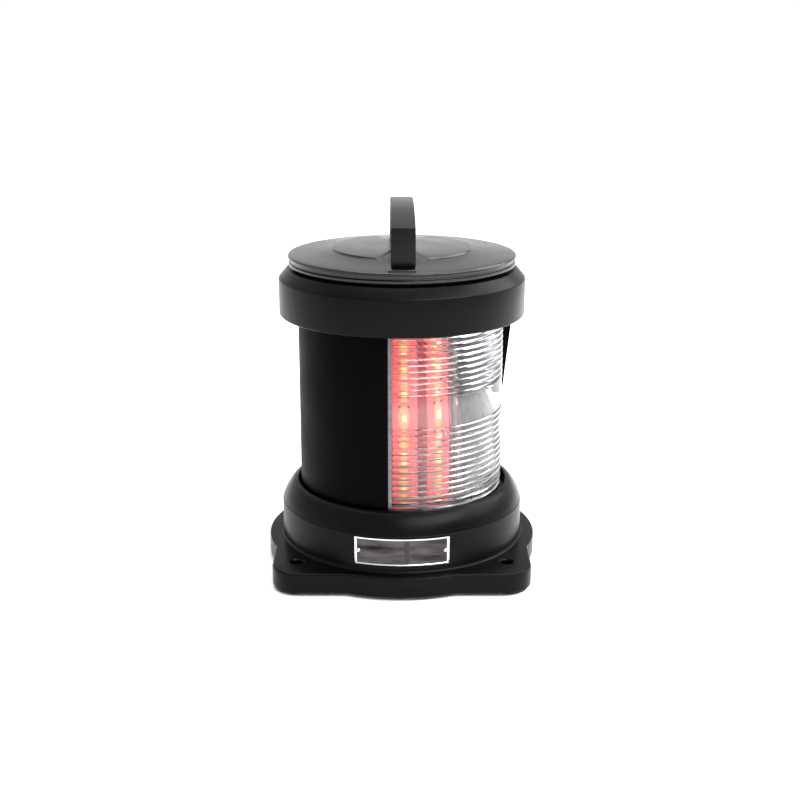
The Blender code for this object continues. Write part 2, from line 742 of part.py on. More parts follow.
def column_outline(radius):
    """Flats that face each board's bearing, closed by a round back."""
    half_step = (BOARD_BEARINGS[1] - BOARD_BEARINGS[0]) / 2
    corner = radius / math.cos(half_step)
    bearings = [b - half_step for b in BOARD_BEARINGS] + [BOARD_BEARINGS[-1] + half_step]
    back_start = bearings[-1]
    back_end = bearings[0] + 2 * math.pi
    back = [back_start + (back_end - back_start) * i / 12 for i in range(1, 12)]
    return [tuple(polar(corner, b).xy) for b in bearings + back]


def led_module():
    """The LED column on its carrier, with a board on each flat towards the lit sector."""
    carrier = turned(
        "lamp_carrier",
        ring_profile(0.0150, CARRIER_RADIUS, DECK_TOP + GAP, COLUMN_BOTTOM - GAP),
        ALUMINIUM,
    )
    for i, bearing in enumerate((math.radians(-50), math.radians(200))):
        spot = polar(CARRIER_SCREW_CIRCLE, bearing)
        below = spot + Vector((0, 0, 0.06))
        cut(carrier, rod("carrier_screw_hole", 0.0017, below, below + Vector((0, 0, 0.02))))
        turned(
            f"carrier_screw_{i + 1}",
            [(0.0, 0.0735), (0.0024, 0.0728), (0.0028, 0.0715), (0.0014, 0.0715), (0.0014, DECK_TOP + GAP),
             (0.0, DECK_TOP + GAP)],
            STEEL, segments=12, closed=False, matrix=Matrix.Translation(spot),
        )
    outline_plate(
        "led_column", [column_outline(COLUMN_RADIUS), column_outline(COLUMN_RADIUS - COLUMN_WALL)],
        COLUMN_BOTTOM, COLUMN_TOP, ALUMINIUM,
    )
    for i, bearing in enumerate(BOARD_BEARINGS):
        led_board(i + 1, bearing)
    outline_plate(
        "column_cap", [column_outline(COLUMN_RADIUS), circle(0.0040, segments=12)],
        COLUMN_TOP + GAP, COLUMN_TOP + 0.0023, ALUMINIUM,
    )


def led_board(number, bearing):
    """One circuit board with its row of LEDs, joined as one body."""
    turn = FRONT + bearing
    back = COLUMN_RADIUS + GAP
    middle = (BOARD_TOP + BOARD_BOTTOM) / 2
    board = block(
        f"led_board_{number}", (BOARD_THICKNESS, BOARD_WIDTH, BOARD_TOP - BOARD_BOTTOM),
        polar(back + BOARD_THICKNESS / 2, bearing, middle), BOARD_WHITE, turn=turn,
    )
    for i in range(LED_COUNT):
        z = middle + (i - (LED_COUNT - 1) / 2) * LED_PITCH
        reach = back + BOARD_THICKNESS + LED_HEIGHT / 2 - 0.0004
        size = (LED_HEIGHT + 0.0008, LED_SIZE, LED_SIZE)
        join(board, block("led", size, polar(reach, bearing, z), turn=turn))


def base_electrics():
    """What the base holds: the driver, the terminal block, the earth screw and the leads to the column."""
    ceiling = DECK_UNDERSIDE - GAP
    block("led_driver", DRIVER_SIZE, (-0.020, -0.032, ceiling - DRIVER_SIZE[2] / 2), DRIVER_GREY)
    block("terminal_block", TERMINAL_SIZE, (0.0, 0.058, ceiling - TERMINAL_SIZE[2] / 2), TERMINAL_CREAM)
    turned(
        "earth_screw",
        [(0.0, DECK_UNDERSIDE - GAP), (0.0042, DECK_UNDERSIDE - GAP), (0.0042, 0.0535), (0.0025, 0.0535),
         (0.0025, 0.0505), (0.0, 0.0505)],
        STEEL, segments=12, closed=False, matrix=Matrix.Translation((0.052, 0.050, 0)),
    )
    for name, side, surface in (("lead_positive", 1, LEAD_RED), ("lead_negative", -1, LEAD_BLACK)):
        wire(name, [(side * LEAD_SPACING / 2, y, z) for y, z in LEAD_ROUTE], LEAD_RADIUS, surface)


def build():
    """Make every piece of the light."""
    mounting_base()
    bottom_cover()
    foot_pads()
    cable_gland()
    rating_plate()
    lens_and_seals()
    screen()
    cap_ring()
    lid()
    bayonet_skirt()
    handle()
    tie_rods()
    led_module()
    base_electrics()


build()
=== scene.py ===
"""Looks of a port-side marine navigation light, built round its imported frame.

The lantern stands on the plane z = 0 with its axis on Z and its rating plate towards -Y. Bearings are
degrees counted from -Y towards +X, as the lit sector is laid out. Lengths are metres, apart from the
sizes of surface patterns, whose names end in _mm.
"""

import sys
import logging
import math
from collections.abc import Iterable, Sequence
from dataclasses import dataclass
from enum import Enum
from functools import cache
from itertools import pairwise, product

import bmesh
import bpy
from mathutils import Matrix, Vector


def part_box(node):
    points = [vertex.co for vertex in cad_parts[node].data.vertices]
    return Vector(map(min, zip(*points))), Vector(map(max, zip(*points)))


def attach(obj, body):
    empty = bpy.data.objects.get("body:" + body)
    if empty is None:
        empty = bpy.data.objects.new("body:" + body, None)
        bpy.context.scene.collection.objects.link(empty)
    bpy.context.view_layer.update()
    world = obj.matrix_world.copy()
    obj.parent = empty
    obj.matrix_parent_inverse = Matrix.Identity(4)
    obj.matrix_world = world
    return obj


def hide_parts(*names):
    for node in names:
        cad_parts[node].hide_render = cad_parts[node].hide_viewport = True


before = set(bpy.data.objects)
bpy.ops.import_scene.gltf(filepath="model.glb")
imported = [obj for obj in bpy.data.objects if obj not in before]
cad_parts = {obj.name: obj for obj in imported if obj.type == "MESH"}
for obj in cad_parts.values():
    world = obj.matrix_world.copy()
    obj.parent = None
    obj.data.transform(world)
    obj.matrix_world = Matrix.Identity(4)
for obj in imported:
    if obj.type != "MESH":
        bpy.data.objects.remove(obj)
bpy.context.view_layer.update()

LOG = logging.getLogger("navigation_light")

MM = 0.001
FINE = 168  # steps round a large turned piece
MEDIUM = 64
SMALL = 32
LUG_STEPS = 20
ROUND_STEPS = 4  # steps across a rounded corner
WELD = 0.00001

ROD_BORE = 0.0028  # clearance round a tie rod
HANDLE_SCREW_BORE = 0.0021
LUGS = 3  # bayonet lugs on the ring, and on the lid's skirt

Corner = tuple[float, float, float]  # radius, height, rounding
Shape = bmesh.types.BMesh
Tree = bpy.types.NodeTree
Node = bpy.types.Node


class Body(Enum):
    """The rigid bodies that pieces ride on."""

    HOUSING = "housing"
    SEAL = "seal"
    LID = "lid"


class Join(Enum):
    """How two closed shapes are put together."""

    UNITE = "UNION"
    CUT = "DIFFERENCE"
    KEEP = "INTERSECT"


# ---------------------------------------------------------------- shaping


def polar(radius: float, bearing: float, height: float = 0.0) -> Vector:
    """The point at a radius and a bearing.

    Args:
        radius: distance from the axis.
        bearing: degrees from -Y towards +X.
        height: height above the deck.

    Returns:
        The point.
    """
    angle = math.radians(bearing - 90)
    return Vector((radius * math.cos(angle), radius * math.sin(angle), height))


def outward(radius: float, bearing: float, height: float) -> Matrix:
    """A frame at a bearing whose X points away from the axis and whose Z points up.

    Args:
        radius: distance from the axis.
        bearing: degrees from -Y towards +X.
        height: height above the deck.

    Returns:
        The frame.
    """
    turn = Matrix.Rotation(math.radians(bearing - 90), 4, "Z")
    return Matrix.Translation(polar(radius, bearing, height)) @ turn


def rearward(height: float, seat: float = 0.0) -> Matrix:
    """A frame whose Z runs to the rear, along +Y."""
    return Matrix.Translation((0.0, seat, height)) @ Matrix.Rotation(-math.pi / 2, 4, "X")


def tidied(shape: Shape) -> Shape:
    """The same shape with doubled points merged and its faces turned outwards.

    Args:
        shape: the shape, which is changed.

    Returns:
        The same shape.
    """
    bmesh.ops.remove_doubles(shape, verts=shape.verts, dist=WELD)
    bmesh.ops.recalc_face_normals(shape, faces=shape.faces)
    return shape


def profile_wire(profile: Sequence[Corner], closed: bool) -> Shape:
    """A chain of edges in the XZ plane with its corners rounded.

    Args:
        profile: corners in order, each with its own rounding.
        closed: whether the last corner joins the first.

    Returns:
        The chain as a shape without faces.
    """
    shape = bmesh.new()
    corners = [shape.verts.new((radius, 0.0, height)) for radius, height, _ in profile]
    for first, second in pairwise(corners):
        shape.edges.new((first, second))
    if closed:
        shape.edges.new((corners[-1], corners[0]))
    for corner, (_, _, rounding) in zip(corners, profile):
        if rounding > 0:
            bmesh.ops.bevel(
                shape, geom=[corner], offset=rounding, segments=ROUND_STEPS, profile=0.5,
                affect="VERTICES", material=-1, clamp_overlap=True,
            )
    return shape


def turned(
    profile: Sequence[Corner], steps: int = FINE, closed: bool = True, matrix: Matrix | None = None
) -> Shape:
    """A profile turned fully about Z.

    Args:
        profile: corners as radius, height and rounding.
        steps: steps round the axis.
        closed: False where the profile starts and ends on the axis.
        matrix: where the turned shape goes.

    Returns:
        The closed shape.
    """
    shape = profile_wire(profile, closed)
    bmesh.ops.spin(
        shape, geom=shape.verts[:] + shape.edges[:], cent=(0, 0, 0), axis=(0, 0, 1), dvec=(0, 0, 0),
        angle=math.tau, steps=steps, use_merge=True, use_duplicate=False,
    )
    if matrix is not None:
        bmesh.ops.transform(shape, matrix=matrix, verts=shape.verts)
    return tidied(shape)


def swept(profile: Sequence[Corner], start: float, end: float, steps: int) -> Shape:
    """A closed profile carried from one bearing to another, with its ends capped.

    Args:
        profile: corners in order, each with its own rounding.
        start: the first bearing.
        end: the last bearing.
        steps: steps along the curve.

    Returns:
        The closed shape.
    """
    shape = profile_wire(profile, closed=True)
    bmesh.ops.rotate(
        shape, cent=(0, 0, 0), matrix=Matrix.Rotation(math.radians(start - 90), 3, "Z"), verts=shape.verts
    )
    bmesh.ops.contextual_create(shape, geom=shape.edges[:])
    bmesh.ops.spin(
        shape, geom=shape.faces[:], cent=(0, 0, 0), axis=(0, 0, 1), dvec=(0, 0, 0),
        angle=math.radians(end - start), steps=steps, use_merge=False, use_duplicate=False,
    )
    return tidied(shape)


def raised(shape: Shape, faces: Sequence[bmesh.types.BMFace], along: Sequence[float]) -> list:
    """Extrude faces along a vector.

    Args:
        shape: the shape, which is changed.
        faces: the faces to extrude.
        along: the vector.

    Returns:
        The faces in their new place.
    """
    grown = bmesh.ops.extrude_face_region(shape, geom=faces)["geom"]
    lifted = [item for item in grown if isinstance(item, bmesh.types.BMVert)]
    bmesh.ops.translate(shape, vec=along, verts=lifted)
    return [item for item in grown if isinstance(item, bmesh.types.BMFace)]


def prism(outline: Iterable[Vector], bottom: float, top: float) -> Shape:
    """A flat outline raised between two heights.

    Args:
        outline: the outline's points in order.
        bottom: height of the bottom.
        top: height of the top.

    Returns:
        The closed shape.
    """
    shape = bmesh.new()
    face = shape.faces.new([shape.verts.new((x, y, bottom)) for x, y in outline])
    raised(shape, [face], (0, 0, top - bottom))
    return tidied(shape)


def section(
    inner: float, outer: float, bottom: float, top: float, inner_edge: float = 0.0, outer_edge: float = 0.0
) -> list[Corner]:
    """The corners of a rectangular section, its inner and outer edges rounded.

    Args:
        inner: inner radius.
        outer: outer radius.
        bottom: height of the bottom.
        top: height of the top.
        inner_edge: rounding of the inner corners.
        outer_edge: rounding of the outer corners.

    Returns:
        The corners.
    """
    return [
        (outer, top, outer_edge), (outer, bottom, outer_edge),
        (inner, bottom, inner_edge), (inner, top, inner_edge),
    ]


def lugs(profile: Sequence[Corner], first: float, count: int, angle: float) -> list[Shape]:
    """Lugs of one section, spread evenly round the axis from a first bearing.

    Args:
        profile: corners in order, each with its own rounding.
        first: bearing of the first one's middle.
        count: how many there are.
        angle: degrees that each one spans.

    Returns:
        The lugs, each a shape of its own.
    """
    middles = [first + 360 * lug / count for lug in range(count)]
    return [swept(profile, bearing - angle / 2, bearing + angle / 2, LUG_STEPS) for bearing in middles]


def drum(
    radius: float, bottom: float, top: float, steps: int = SMALL, matrix: Matrix | None = None
) -> Shape:
    """A cylinder or many-sided bar along Z, before its matrix places it.

    Args:
        radius: its radius.
        bottom: height of the bottom.
        top: height of the top.
        steps: sides round the axis.
        matrix: where it goes.

    Returns:
        The closed shape.
    """
    shape = bmesh.new()
    centre = Matrix.Translation((0, 0, (bottom + top) / 2))
    bmesh.ops.create_cone(
        shape, cap_ends=True, segments=steps, radius1=radius, radius2=radius, depth=top - bottom,
        matrix=(matrix or Matrix()) @ centre,
    )
    return shape


def block(size: Sequence[float], matrix: Matrix) -> Shape:
    """A box of the given size about a frame's origin.

    Args:
        size: length along each axis.
        matrix: where it goes.

    Returns:
        The closed shape.
    """
    shape = bmesh.new()
    bmesh.ops.create_cube(shape, size=1.0, matrix=matrix @ Matrix.Diagonal((*size, 1.0)))
    return shape


def eased(shape: Shape, width: float, steps: int = 3, sharper_than: float = 30.0) -> Shape:
    """The same shape with every edge sharper than an angle rounded over.

    Args:
        shape: the shape, which is changed.
        width: how wide the rounding is.
        steps: steps across the rounding.
        sharper_than: the smallest angle in degrees that is rounded.

    Returns:
        The same shape.
    """
    limit = math.radians(sharper_than)
    sharp = [edge for edge in shape.edges if edge.is_manifold and edge.calc_face_angle() > limit]
    bmesh.ops.bevel(
        shape, geom=sharp, offset=width, segments=steps, profile=0.5, affect="EDGES",
        material=-1, clamp_overlap=True,
    )
    return shape


def gathered(shapes: Iterable[Shape]) -> Shape:
    """Several separate shapes as one.

    Args:
        shapes: the shapes, which are used up.

    Returns:
        The joined shape.
    """
    whole = bmesh.new()
    for shape in shapes:
        mesh = bpy.data.meshes.new("gathered")
        shape.to_mesh(mesh)
        shape.free()
        whole.from_mesh(mesh)
        bpy.data.meshes.remove(mesh)
    return whole


def combined(shape: Shape, others: Sequence[Shape], how: Join = Join.CUT) -> Shape:
    """One closed shape with others cut away, united or kept in common, by exact Booleans.

    Args:
        shape: the first shape, which is used up.
        others: the other shapes, which are used up.
        how: whether the others are cut away, united or kept in common.

    Returns:
        The resulting shape.
    """
    objects = []
    for part in (shape, *others):
        mesh = bpy.data.meshes.new("boolean")
        part.to_mesh(mesh)
        part.free()
        objects.append(bpy.data.objects.new("boolean", mesh))
        bpy.context.scene.collection.objects.link(objects[-1])
    for other in objects[1:]:
        modifier = objects[0].modifiers.new("join", "BOOLEAN")
        modifier.operation = how.value
        modifier.object = other
    bpy.context.view_layer.update()
    result = bmesh.new()
    result.from_object(objects[0], bpy.context.evaluated_depsgraph_get())
    for obj in objects:
        mesh = obj.data
        bpy.data.objects.remove(obj)
        bpy.data.meshes.remove(mesh)
    bmesh.ops.remove_doubles(result, verts=result.verts, dist=WELD)
    return result


# ---------------------------------------------------------------- finishes


def linear(colour: str) -> tuple[float, float, float, float]:
    """An sRGB hex colour as linear red, green, blue and alpha.

    Args:
        colour: six hex digits after a hash.

    Returns:
        The four components.
    """
    parts = [int(colour[i : i + 2], 16) / 255 for i in (1, 3, 5)]
    red, green, blue = (p / 12.92 if p <= 0.04045 else ((p + 0.055) / 1.055) ** 2.4 for p in parts)
    return red, green, blue, 1.0


def per_metre(size_mm: float) -> float:
    """The texture scale that draws one feature in each size_mm."""
    return 1000.0 / size_mm


def add_node(
    tree: Tree, kind: str, settings: dict | None = None, links: dict | None = None,
    stops: Sequence[tuple[float, str]] = (),
) -> Node:
    """A new node in a tree.

    Args:
        tree: the node tree.
        kind: the node's type.
        settings: values by input socket or by attribute.
        links: output sockets by the input that they feed.
        stops: a colour ramp's positions and hex colours.

    Returns:
        The node.
    """
    node = tree.nodes.new(kind)
    for key, value in (settings or {}).items():
        if isinstance(key, int) or key in node.inputs:
            node.inputs[key].default_value = value
        else:
            setattr(node, key, value)
    for key, socket in (links or {}).items():
        tree.links.new(socket, node.inputs[key])
    for index, (position, colour) in enumerate(stops):
        if index > 1:
            node.color_ramp.elements.new(position)
        node.color_ramp.elements[index].position = position
        node.color_ramp.elements[index].color = linear(colour)
    return node


def shade_by(
    tree: Tree, shader: Node, marks: bpy.types.NodeSocket, tones: Sequence[tuple[float, str]],
    gloss: tuple[float, float],
) -> None:
    """Let one pattern vary a surface's colour and roughness.

    Args:
        tree: the material's tree.
        shader: its shader.
        marks: the pattern's output.
        tones: the colours along the pattern.
        gloss: the lowest and highest roughness.
    """
    tone = add_node(tree, "ShaderNodeValToRGB", links={"Fac": marks}, stops=tones)
    spread = {"From Min": 0.3, "From Max": 0.7, "To Min": gloss[0], "To Max": gloss[1]}
    rough = add_node(tree, "ShaderNodeMapRange", spread, {"Value": marks})
    tree.links.new(tone.outputs["Color"], shader.inputs["Base Color"])
    tree.links.new(rough.outputs["Result"], shader.inputs["Roughness"])


def emboss(tree: Tree, shader: Node, marks: bpy.types.NodeSocket, relief_mm: float) -> None:
    """Let a pattern stand out of the surface by a real depth.

    Args:
        tree: the material's tree.
        shader: its shader.
        marks: the pattern's output.
        relief_mm: how far the pattern stands out.
    """
    depth = {"Strength": 1.0, "Distance": relief_mm * MM}
    bump = add_node(tree, "ShaderNodeBump", depth, {"Height": marks})
    tree.links.new(bump.outputs["Normal"], shader.inputs["Normal"])


@dataclass(frozen=True)
class Finish:
    """What a surface is made of. Each kind fills in how its shader is dressed."""

    name: str
    slot: str

    def dress(self, tree: Tree, shader: Node) -> None:
        """Add this finish's nodes and values to a new material."""
        raise NotImplementedError

    @cache
    def material(self) -> bpy.types.Material:
        """The material, made once for each finish."""
        made = bpy.data.materials.new(self.name)
        made.use_nodes = True
        made.node_tree.nodes.clear()
        output = made.node_tree.nodes.new("ShaderNodeOutputMaterial")
        shader = made.node_tree.nodes.new("ShaderNodeBsdfPrincipled")
        made.node_tree.links.new(shader.outputs["BSDF"], output.inputs["Surface"])
        self.dress(made.node_tree, shader)
        return made


@dataclass(frozen=True)
class MouldedPlastic(Finish):
    """Plastic or rubber from a textured mould.

    The mould's spark-eroded skin breaks up the gloss into a fine sparkle, and slow flow marks make it
    a little uneven, so that a black surface still reads as a solid one.
    """

    colour: str
    flow_colour: str
    roughness: tuple[float, float]
    specular: float = 0.5
    grain_mm: float = 1.0  # real grain is about 0.3 mm, drawn coarser so that it shows
    relief_mm: float = 0.03
    flow_mm: float = 45.0
    coat: float = 0.0

    def dress(self, tree: Tree, shader: Node) -> None:
        """Flow marks in colour and gloss, and the mould's grain as a bump."""
        place = add_node(tree, "ShaderNodeTexCoord").outputs["Object"]
        slow = {"Scale": per_metre(self.flow_mm), "Detail": 3.0}
        fine = {"Scale": per_metre(self.grain_mm), "Detail": 2.0}
        flow = add_node(tree, "ShaderNodeTexNoise", slow, {"Vector": place})
        grain = add_node(tree, "ShaderNodeTexNoise", fine, {"Vector": place})
        tones = ((0.35, self.colour), (0.7, self.flow_colour))
        shade_by(tree, shader, flow.outputs["Fac"], tones, self.roughness)
        emboss(tree, shader, grain.outputs["Fac"], self.relief_mm)
        shader.inputs["IOR"].default_value = 1.5
        shader.inputs["Specular IOR Level"].default_value = self.specular
        shader.inputs["Coat Weight"].default_value = self.coat


@dataclass(frozen=True)
class ClearPlastic(Finish):
    """Clear moulded polycarbonate: glassy, with faint handling marks that soften the gloss in places."""

    tint: str
    roughness: tuple[float, float]
    ior: float = 1.585
    specular: float = 0.3
    marks_mm: float = 9.0

    def dress(self, tree: Tree, shader: Node) -> None:
        """Full transmission with slightly uneven gloss."""
        place = add_node(tree, "ShaderNodeTexCoord").outputs["Object"]
        handled = {"Scale": per_metre(self.marks_mm), "Detail": 4.0}
        marks = add_node(tree, "ShaderNodeTexNoise", handled, {"Vector": place})
        low, high = self.roughness
        spread = {"From Min": 0.45, "From Max": 0.75, "To Min": low, "To Max": high}
        gloss = add_node(tree, "ShaderNodeMapRange", spread, {"Value": marks.outputs["Fac"]})
        tree.links.new(gloss.outputs["Result"], shader.inputs["Roughness"])
        shader.inputs["Base Color"].default_value = linear(self.tint)
        shader.inputs["Transmission Weight"].default_value = 1.0
        shader.inputs["IOR"].default_value = self.ior
        shader.inputs["Specular IOR Level"].default_value = self.specular


@dataclass(frozen=True)
class WorkedMetal(Finish):
    """Metal that was turned, milled or brushed: the tool's fine parallel marks stretch the highlights."""

    colour: str
    worn_colour: str
    roughness: tuple[float, float]
    grain_mm: tuple[float, float, float]  # size of the tool marks along X, Y and Z
    relief_mm: float = 0.01

    def dress(self, tree: Tree, shader: Node) -> None:
        """Stretched noise for the tool marks in colour, gloss and bump."""
        place = add_node(tree, "ShaderNodeTexCoord").outputs["Object"]
        scale = tuple(per_metre(size) for size in self.grain_mm)
        spread = add_node(tree, "ShaderNodeMapping", {"Scale": scale}, {"Vector": place})
        fine = {"Scale": 1.0, "Detail": 3.0}
        marks = add_node(tree, "ShaderNodeTexNoise", fine, {"Vector": spread.outputs["Vector"]})
        tones = ((0.3, self.worn_colour), (0.65, self.colour))
        shade_by(tree, shader, marks.outputs["Fac"], tones, self.roughness)
        emboss(tree, shader, marks.outputs["Fac"], self.relief_mm)
        shader.inputs["Metallic"].default_value = 1.0


@dataclass(frozen=True)
class Spill:
    """The painted light on a board: its mask's colour tinted by the LEDs' red light, and the glow painted
    between and round the LEDs.
    """

    # colour and bright: the mask's base colour, tinted by painted red light; wash, halo and core: the
    # painted glow.
    colour: str
    bright: str
    wash: str
    halo: str
    core: str
    strength: float


@dataclass(frozen=True)
class LitBoard(Finish):
    """White solder mask on an aluminium-backed circuit board, flooded by its own LEDs.

    The light that spills from each LED is painted on the board as glow, a bright core round it and a softer
    wash between them, and it also tints the mask.
    """

    spill: Spill
    bearing: float
    pitch: float
    first: float
    halo_mm: float = 11.5
    mask_mm: float = 3.0
    stretch: float = 0.6  # the painted glow is stretched up and down, standing in for the prisms smearing each LED's light

    def dress(self, tree: Tree, shader: Node) -> None:
        """Painted glow by the distance to the nearest LED, across and along the board, over a mask tinted
        by painted light.
        """
        place = add_node(tree, "ShaderNodeTexCoord").outputs["Object"]
        facing = {"Rotation": (0, 0, -math.radians(self.bearing - 90))}
        turn = add_node(tree, "ShaderNodeMapping", facing, {"Vector": place})
        axes = add_node(tree, "ShaderNodeSeparateXYZ", links={"Vector": turn.outputs["Vector"]})
        along = axes.outputs["Z"]
        for operation, value in (
            ("SUBTRACT", self.first - self.pitch / 2), ("FLOORED_MODULO", self.pitch),
            ("SUBTRACT", self.pitch / 2), ("MULTIPLY", self.stretch),
        ):
            step = add_node(tree, "ShaderNodeMath", {"operation": operation, 1: value}, {0: along})
            along = step.outputs[0]
        spot = add_node(tree, "ShaderNodeCombineXYZ", links={"X": axes.outputs["Y"], "Y": along})
        away = add_node(tree, "ShaderNodeVectorMath", {"operation": "LENGTH"}, {0: spot.outputs["Vector"]})
        reach = {"From Min": 0.0, "From Max": self.halo_mm * MM}
        near = add_node(tree, "ShaderNodeMapRange", reach, {"Value": away.outputs["Value"]})
        fine = {"Scale": per_metre(self.mask_mm), "Detail": 3.0}
        mask = add_node(tree, "ShaderNodeTexNoise", fine, {"Vector": place})
        spill = self.spill
        # Painted glow round and between the LEDs.
        glow = add_node(
            tree, "ShaderNodeValToRGB", links={"Fac": near.outputs["Result"]},
            stops=((0.14, spill.core), (1.0, spill.wash), (0.42, spill.halo)),
        )
        # The mask's colour, tinted by painted red light.
        tone = add_node(
            tree, "ShaderNodeValToRGB", links={"Fac": mask.outputs["Fac"]},
            stops=((0.3, spill.colour), (0.7, spill.bright)),
        )
        tree.links.new(tone.outputs["Color"], shader.inputs["Base Color"])
        tree.links.new(glow.outputs["Color"], shader.inputs["Emission Color"])
        shader.inputs["Emission Strength"].default_value = spill.strength
        shader.inputs["Roughness"].default_value = 0.35


@dataclass(frozen=True)
class LedLight(Finish):
    """The clear silicone dome of a red LED, lit: yellow-hot over the die and red towards its rim."""

    core: str
    rim: str
    glow: float
    die_mm: float = 1.6

    def dress(self, tree: Tree, shader: Node) -> None:
        """Emission with a slight unevenness from the die and its bond wire."""
        place = add_node(tree, "ShaderNodeTexCoord").outputs["Object"]
        fine = {"Scale": per_metre(self.die_mm), "Detail": 2.0}
        uneven = add_node(tree, "ShaderNodeTexNoise", fine, {"Vector": place})
        hot = add_node(
            tree, "ShaderNodeValToRGB", links={"Fac": uneven.outputs["Fac"]},
            stops=((0.4, self.rim), (0.6, self.core)),
        )
        tree.links.new(hot.outputs["Color"], shader.inputs["Emission Color"])
        shader.inputs["Base Color"].default_value = linear(self.rim)
        shader.inputs["Emission Strength"].default_value = self.glow
        shader.inputs["Roughness"].default_value = 0.2


# Glass-filled nylon, moulded: the base and ring. A soft broken sheen on a near-black body.
NYLON = MouldedPlastic(
    "glass_filled_nylon", "black_nylon", "#030303", "#060607", (0.26, 0.36), specular=0.075, relief_mm=0.02
)
# The same nylon from a polished mould: the lid, which mirrors the room along its dome.
POLISHED_NYLON = MouldedPlastic(
    "polished_nylon", "gloss_black_nylon", "#040405", "#080809", (0.2, 0.28), specular=0.42,
    grain_mm=2.0, relief_mm=0.008,
)
# Handle moulding, a shade duller than the lid.
HANDLE_NYLON = MouldedPlastic(
    "handle_nylon", "black_nylon", "#030304", "#060607", (0.24, 0.32), specular=0.15, relief_mm=0.012
)
# Matt black paint over sheet metal: it swallows light, so the dark sector stays dark.
SCREEN_PAINT = MouldedPlastic(
    "matt_black_paint", "screen_black", "#010001", "#030102", (0.42, 0.52), specular=0.025,
    grain_mm=1.4, relief_mm=0.012,
)
# EPDM rubber, moulded: dull, slightly grey from bloom.
RUBBER = MouldedPlastic(
    "epdm_rubber", "rubber", "#141414", "#1E1D1C", (0.7, 0.85), specular=0.3, relief_mm=0.05, flow_mm=12.0
)
# Clear polycarbonate drum lens.
LENS_CLEAR = ClearPlastic("clear_polycarbonate", "clear_lens", "#F6F8FA", (0.015, 0.06))
# A4 stainless steel, turned: screws, nuts and tie rods.
STEEL = WorkedMetal(
    "turned_stainless_steel", "stainless", "#C9C7C2", "#A9A6A0", (0.22, 0.34), (3.0, 3.0, 0.4)
)
# Milled aluminium, left plain: the column's top plate, its carrier and the plate's rivets.
ALUMINIUM = WorkedMetal(
    "milled_aluminium", "aluminium", "#D4D5D8", "#B3B4B8", (0.28, 0.4), (0.6, 0.6, 14.0)
)
# The LED column: extruded aluminium coloured deep red. The red is painted light, standing in for the LEDs'
# red light flooding it, so its stray reflections keep the LEDs' colour.
RED_LIT_ALUMINIUM = WorkedMetal(
    "aluminium_painted_red_lit", "aluminium", "#AC0410", "#760208", (0.36, 0.48), (0.6, 0.6, 14.0)
)
# The screen's unpainted inner face and hem: sheet aluminium, rolled and dulled by weather.
SHEET_ALUMINIUM = WorkedMetal(
    "rolled_aluminium_sheet", "screen_black", "#77757A", "#545258", (0.42, 0.54), (6.0, 6.0, 0.8)
)
# Brushed stainless sheet: the rating plate's raised border.
BRUSHED_PLATE = WorkedMetal(
    "brushed_plate", "plate_metal", "#D8D5D2", "#A5A1A0", (0.16, 0.28), (16.0, 16.0, 0.5)
)
# The plate's sunk fields, etched dark, and the bar of black enamel between them: partly the plate's own
# two-tone finish, partly painted reflection standing in for the dark reflections across its middle.
ETCHED_FIELD_PAINTED_REFLECTION = WorkedMetal(
    "etched_field_painted_reflection", "plate_metal", "#4A4647", "#1C1A1B", (0.14, 0.24), (30.0, 30.0, 6.0)
)
ENAMEL_BAR_PAINTED_REFLECTION = MouldedPlastic(
    "black_bar_painted_reflection", "plate_metal", "#0A0A0B", "#121113", (0.2, 0.26), specular=0.4, relief_mm=0.004
)
DRIVER_GREY = MouldedPlastic(
    "driver_case_abs", "driver_grey", "#5A5B5E", "#66676A", (0.4, 0.5), relief_mm=0.03
)
TERMINAL_CREAM = MouldedPlastic(
    "terminal_polyamide", "terminal_cream", "#CFC8B0", "#DAD4C0", (0.4, 0.5), relief_mm=0.02
)
LEAD_RED = MouldedPlastic("red_pvc", "lead_red", "#A01414", "#B51C1A", (0.35, 0.45), relief_mm=0.01)
LEAD_BLACK = MouldedPlastic("black_pvc", "lead_black", "#151515", "#1D1D1D", (0.35, 0.45), relief_mm=0.01)
LED_CASE = MouldedPlastic(
    "led_case_ppa", "board_white", "#E9E4DC", "#F2EEE8", (0.35, 0.45), relief_mm=0.004
)
CHIP_BLACK = MouldedPlastic(
    "chip_resistor", "board_white", "#17181A", "#222326", (0.3, 0.4), relief_mm=0.004
)
LED_DOME = LedLight("lit_led_dome", "board_white", "#FFE080", "#FF9040", 2.6)
# The two side boards' domes and spill are painted darker: painted shade for LEDs seen at a grazing angle.
SIDE_DOME_PAINTED_SHADE = LedLight("led_dome_painted_shade", "board_white", "#A02418", "#701010", 0.5)
# The boards' spills are painted light: the glow and red tint that the LEDs cast on them.
FRONT_SPILL_PAINTED_LIGHT = Spill("#54302E", "#6A4440", "#A8101C", "#F4403E", "#FFA848", 1.0)
SIDE_SPILL_PAINTED_SHADE = Spill("#3C1416", "#4A1A1C", "#50080C", "#801418", "#C04020", 0.25)


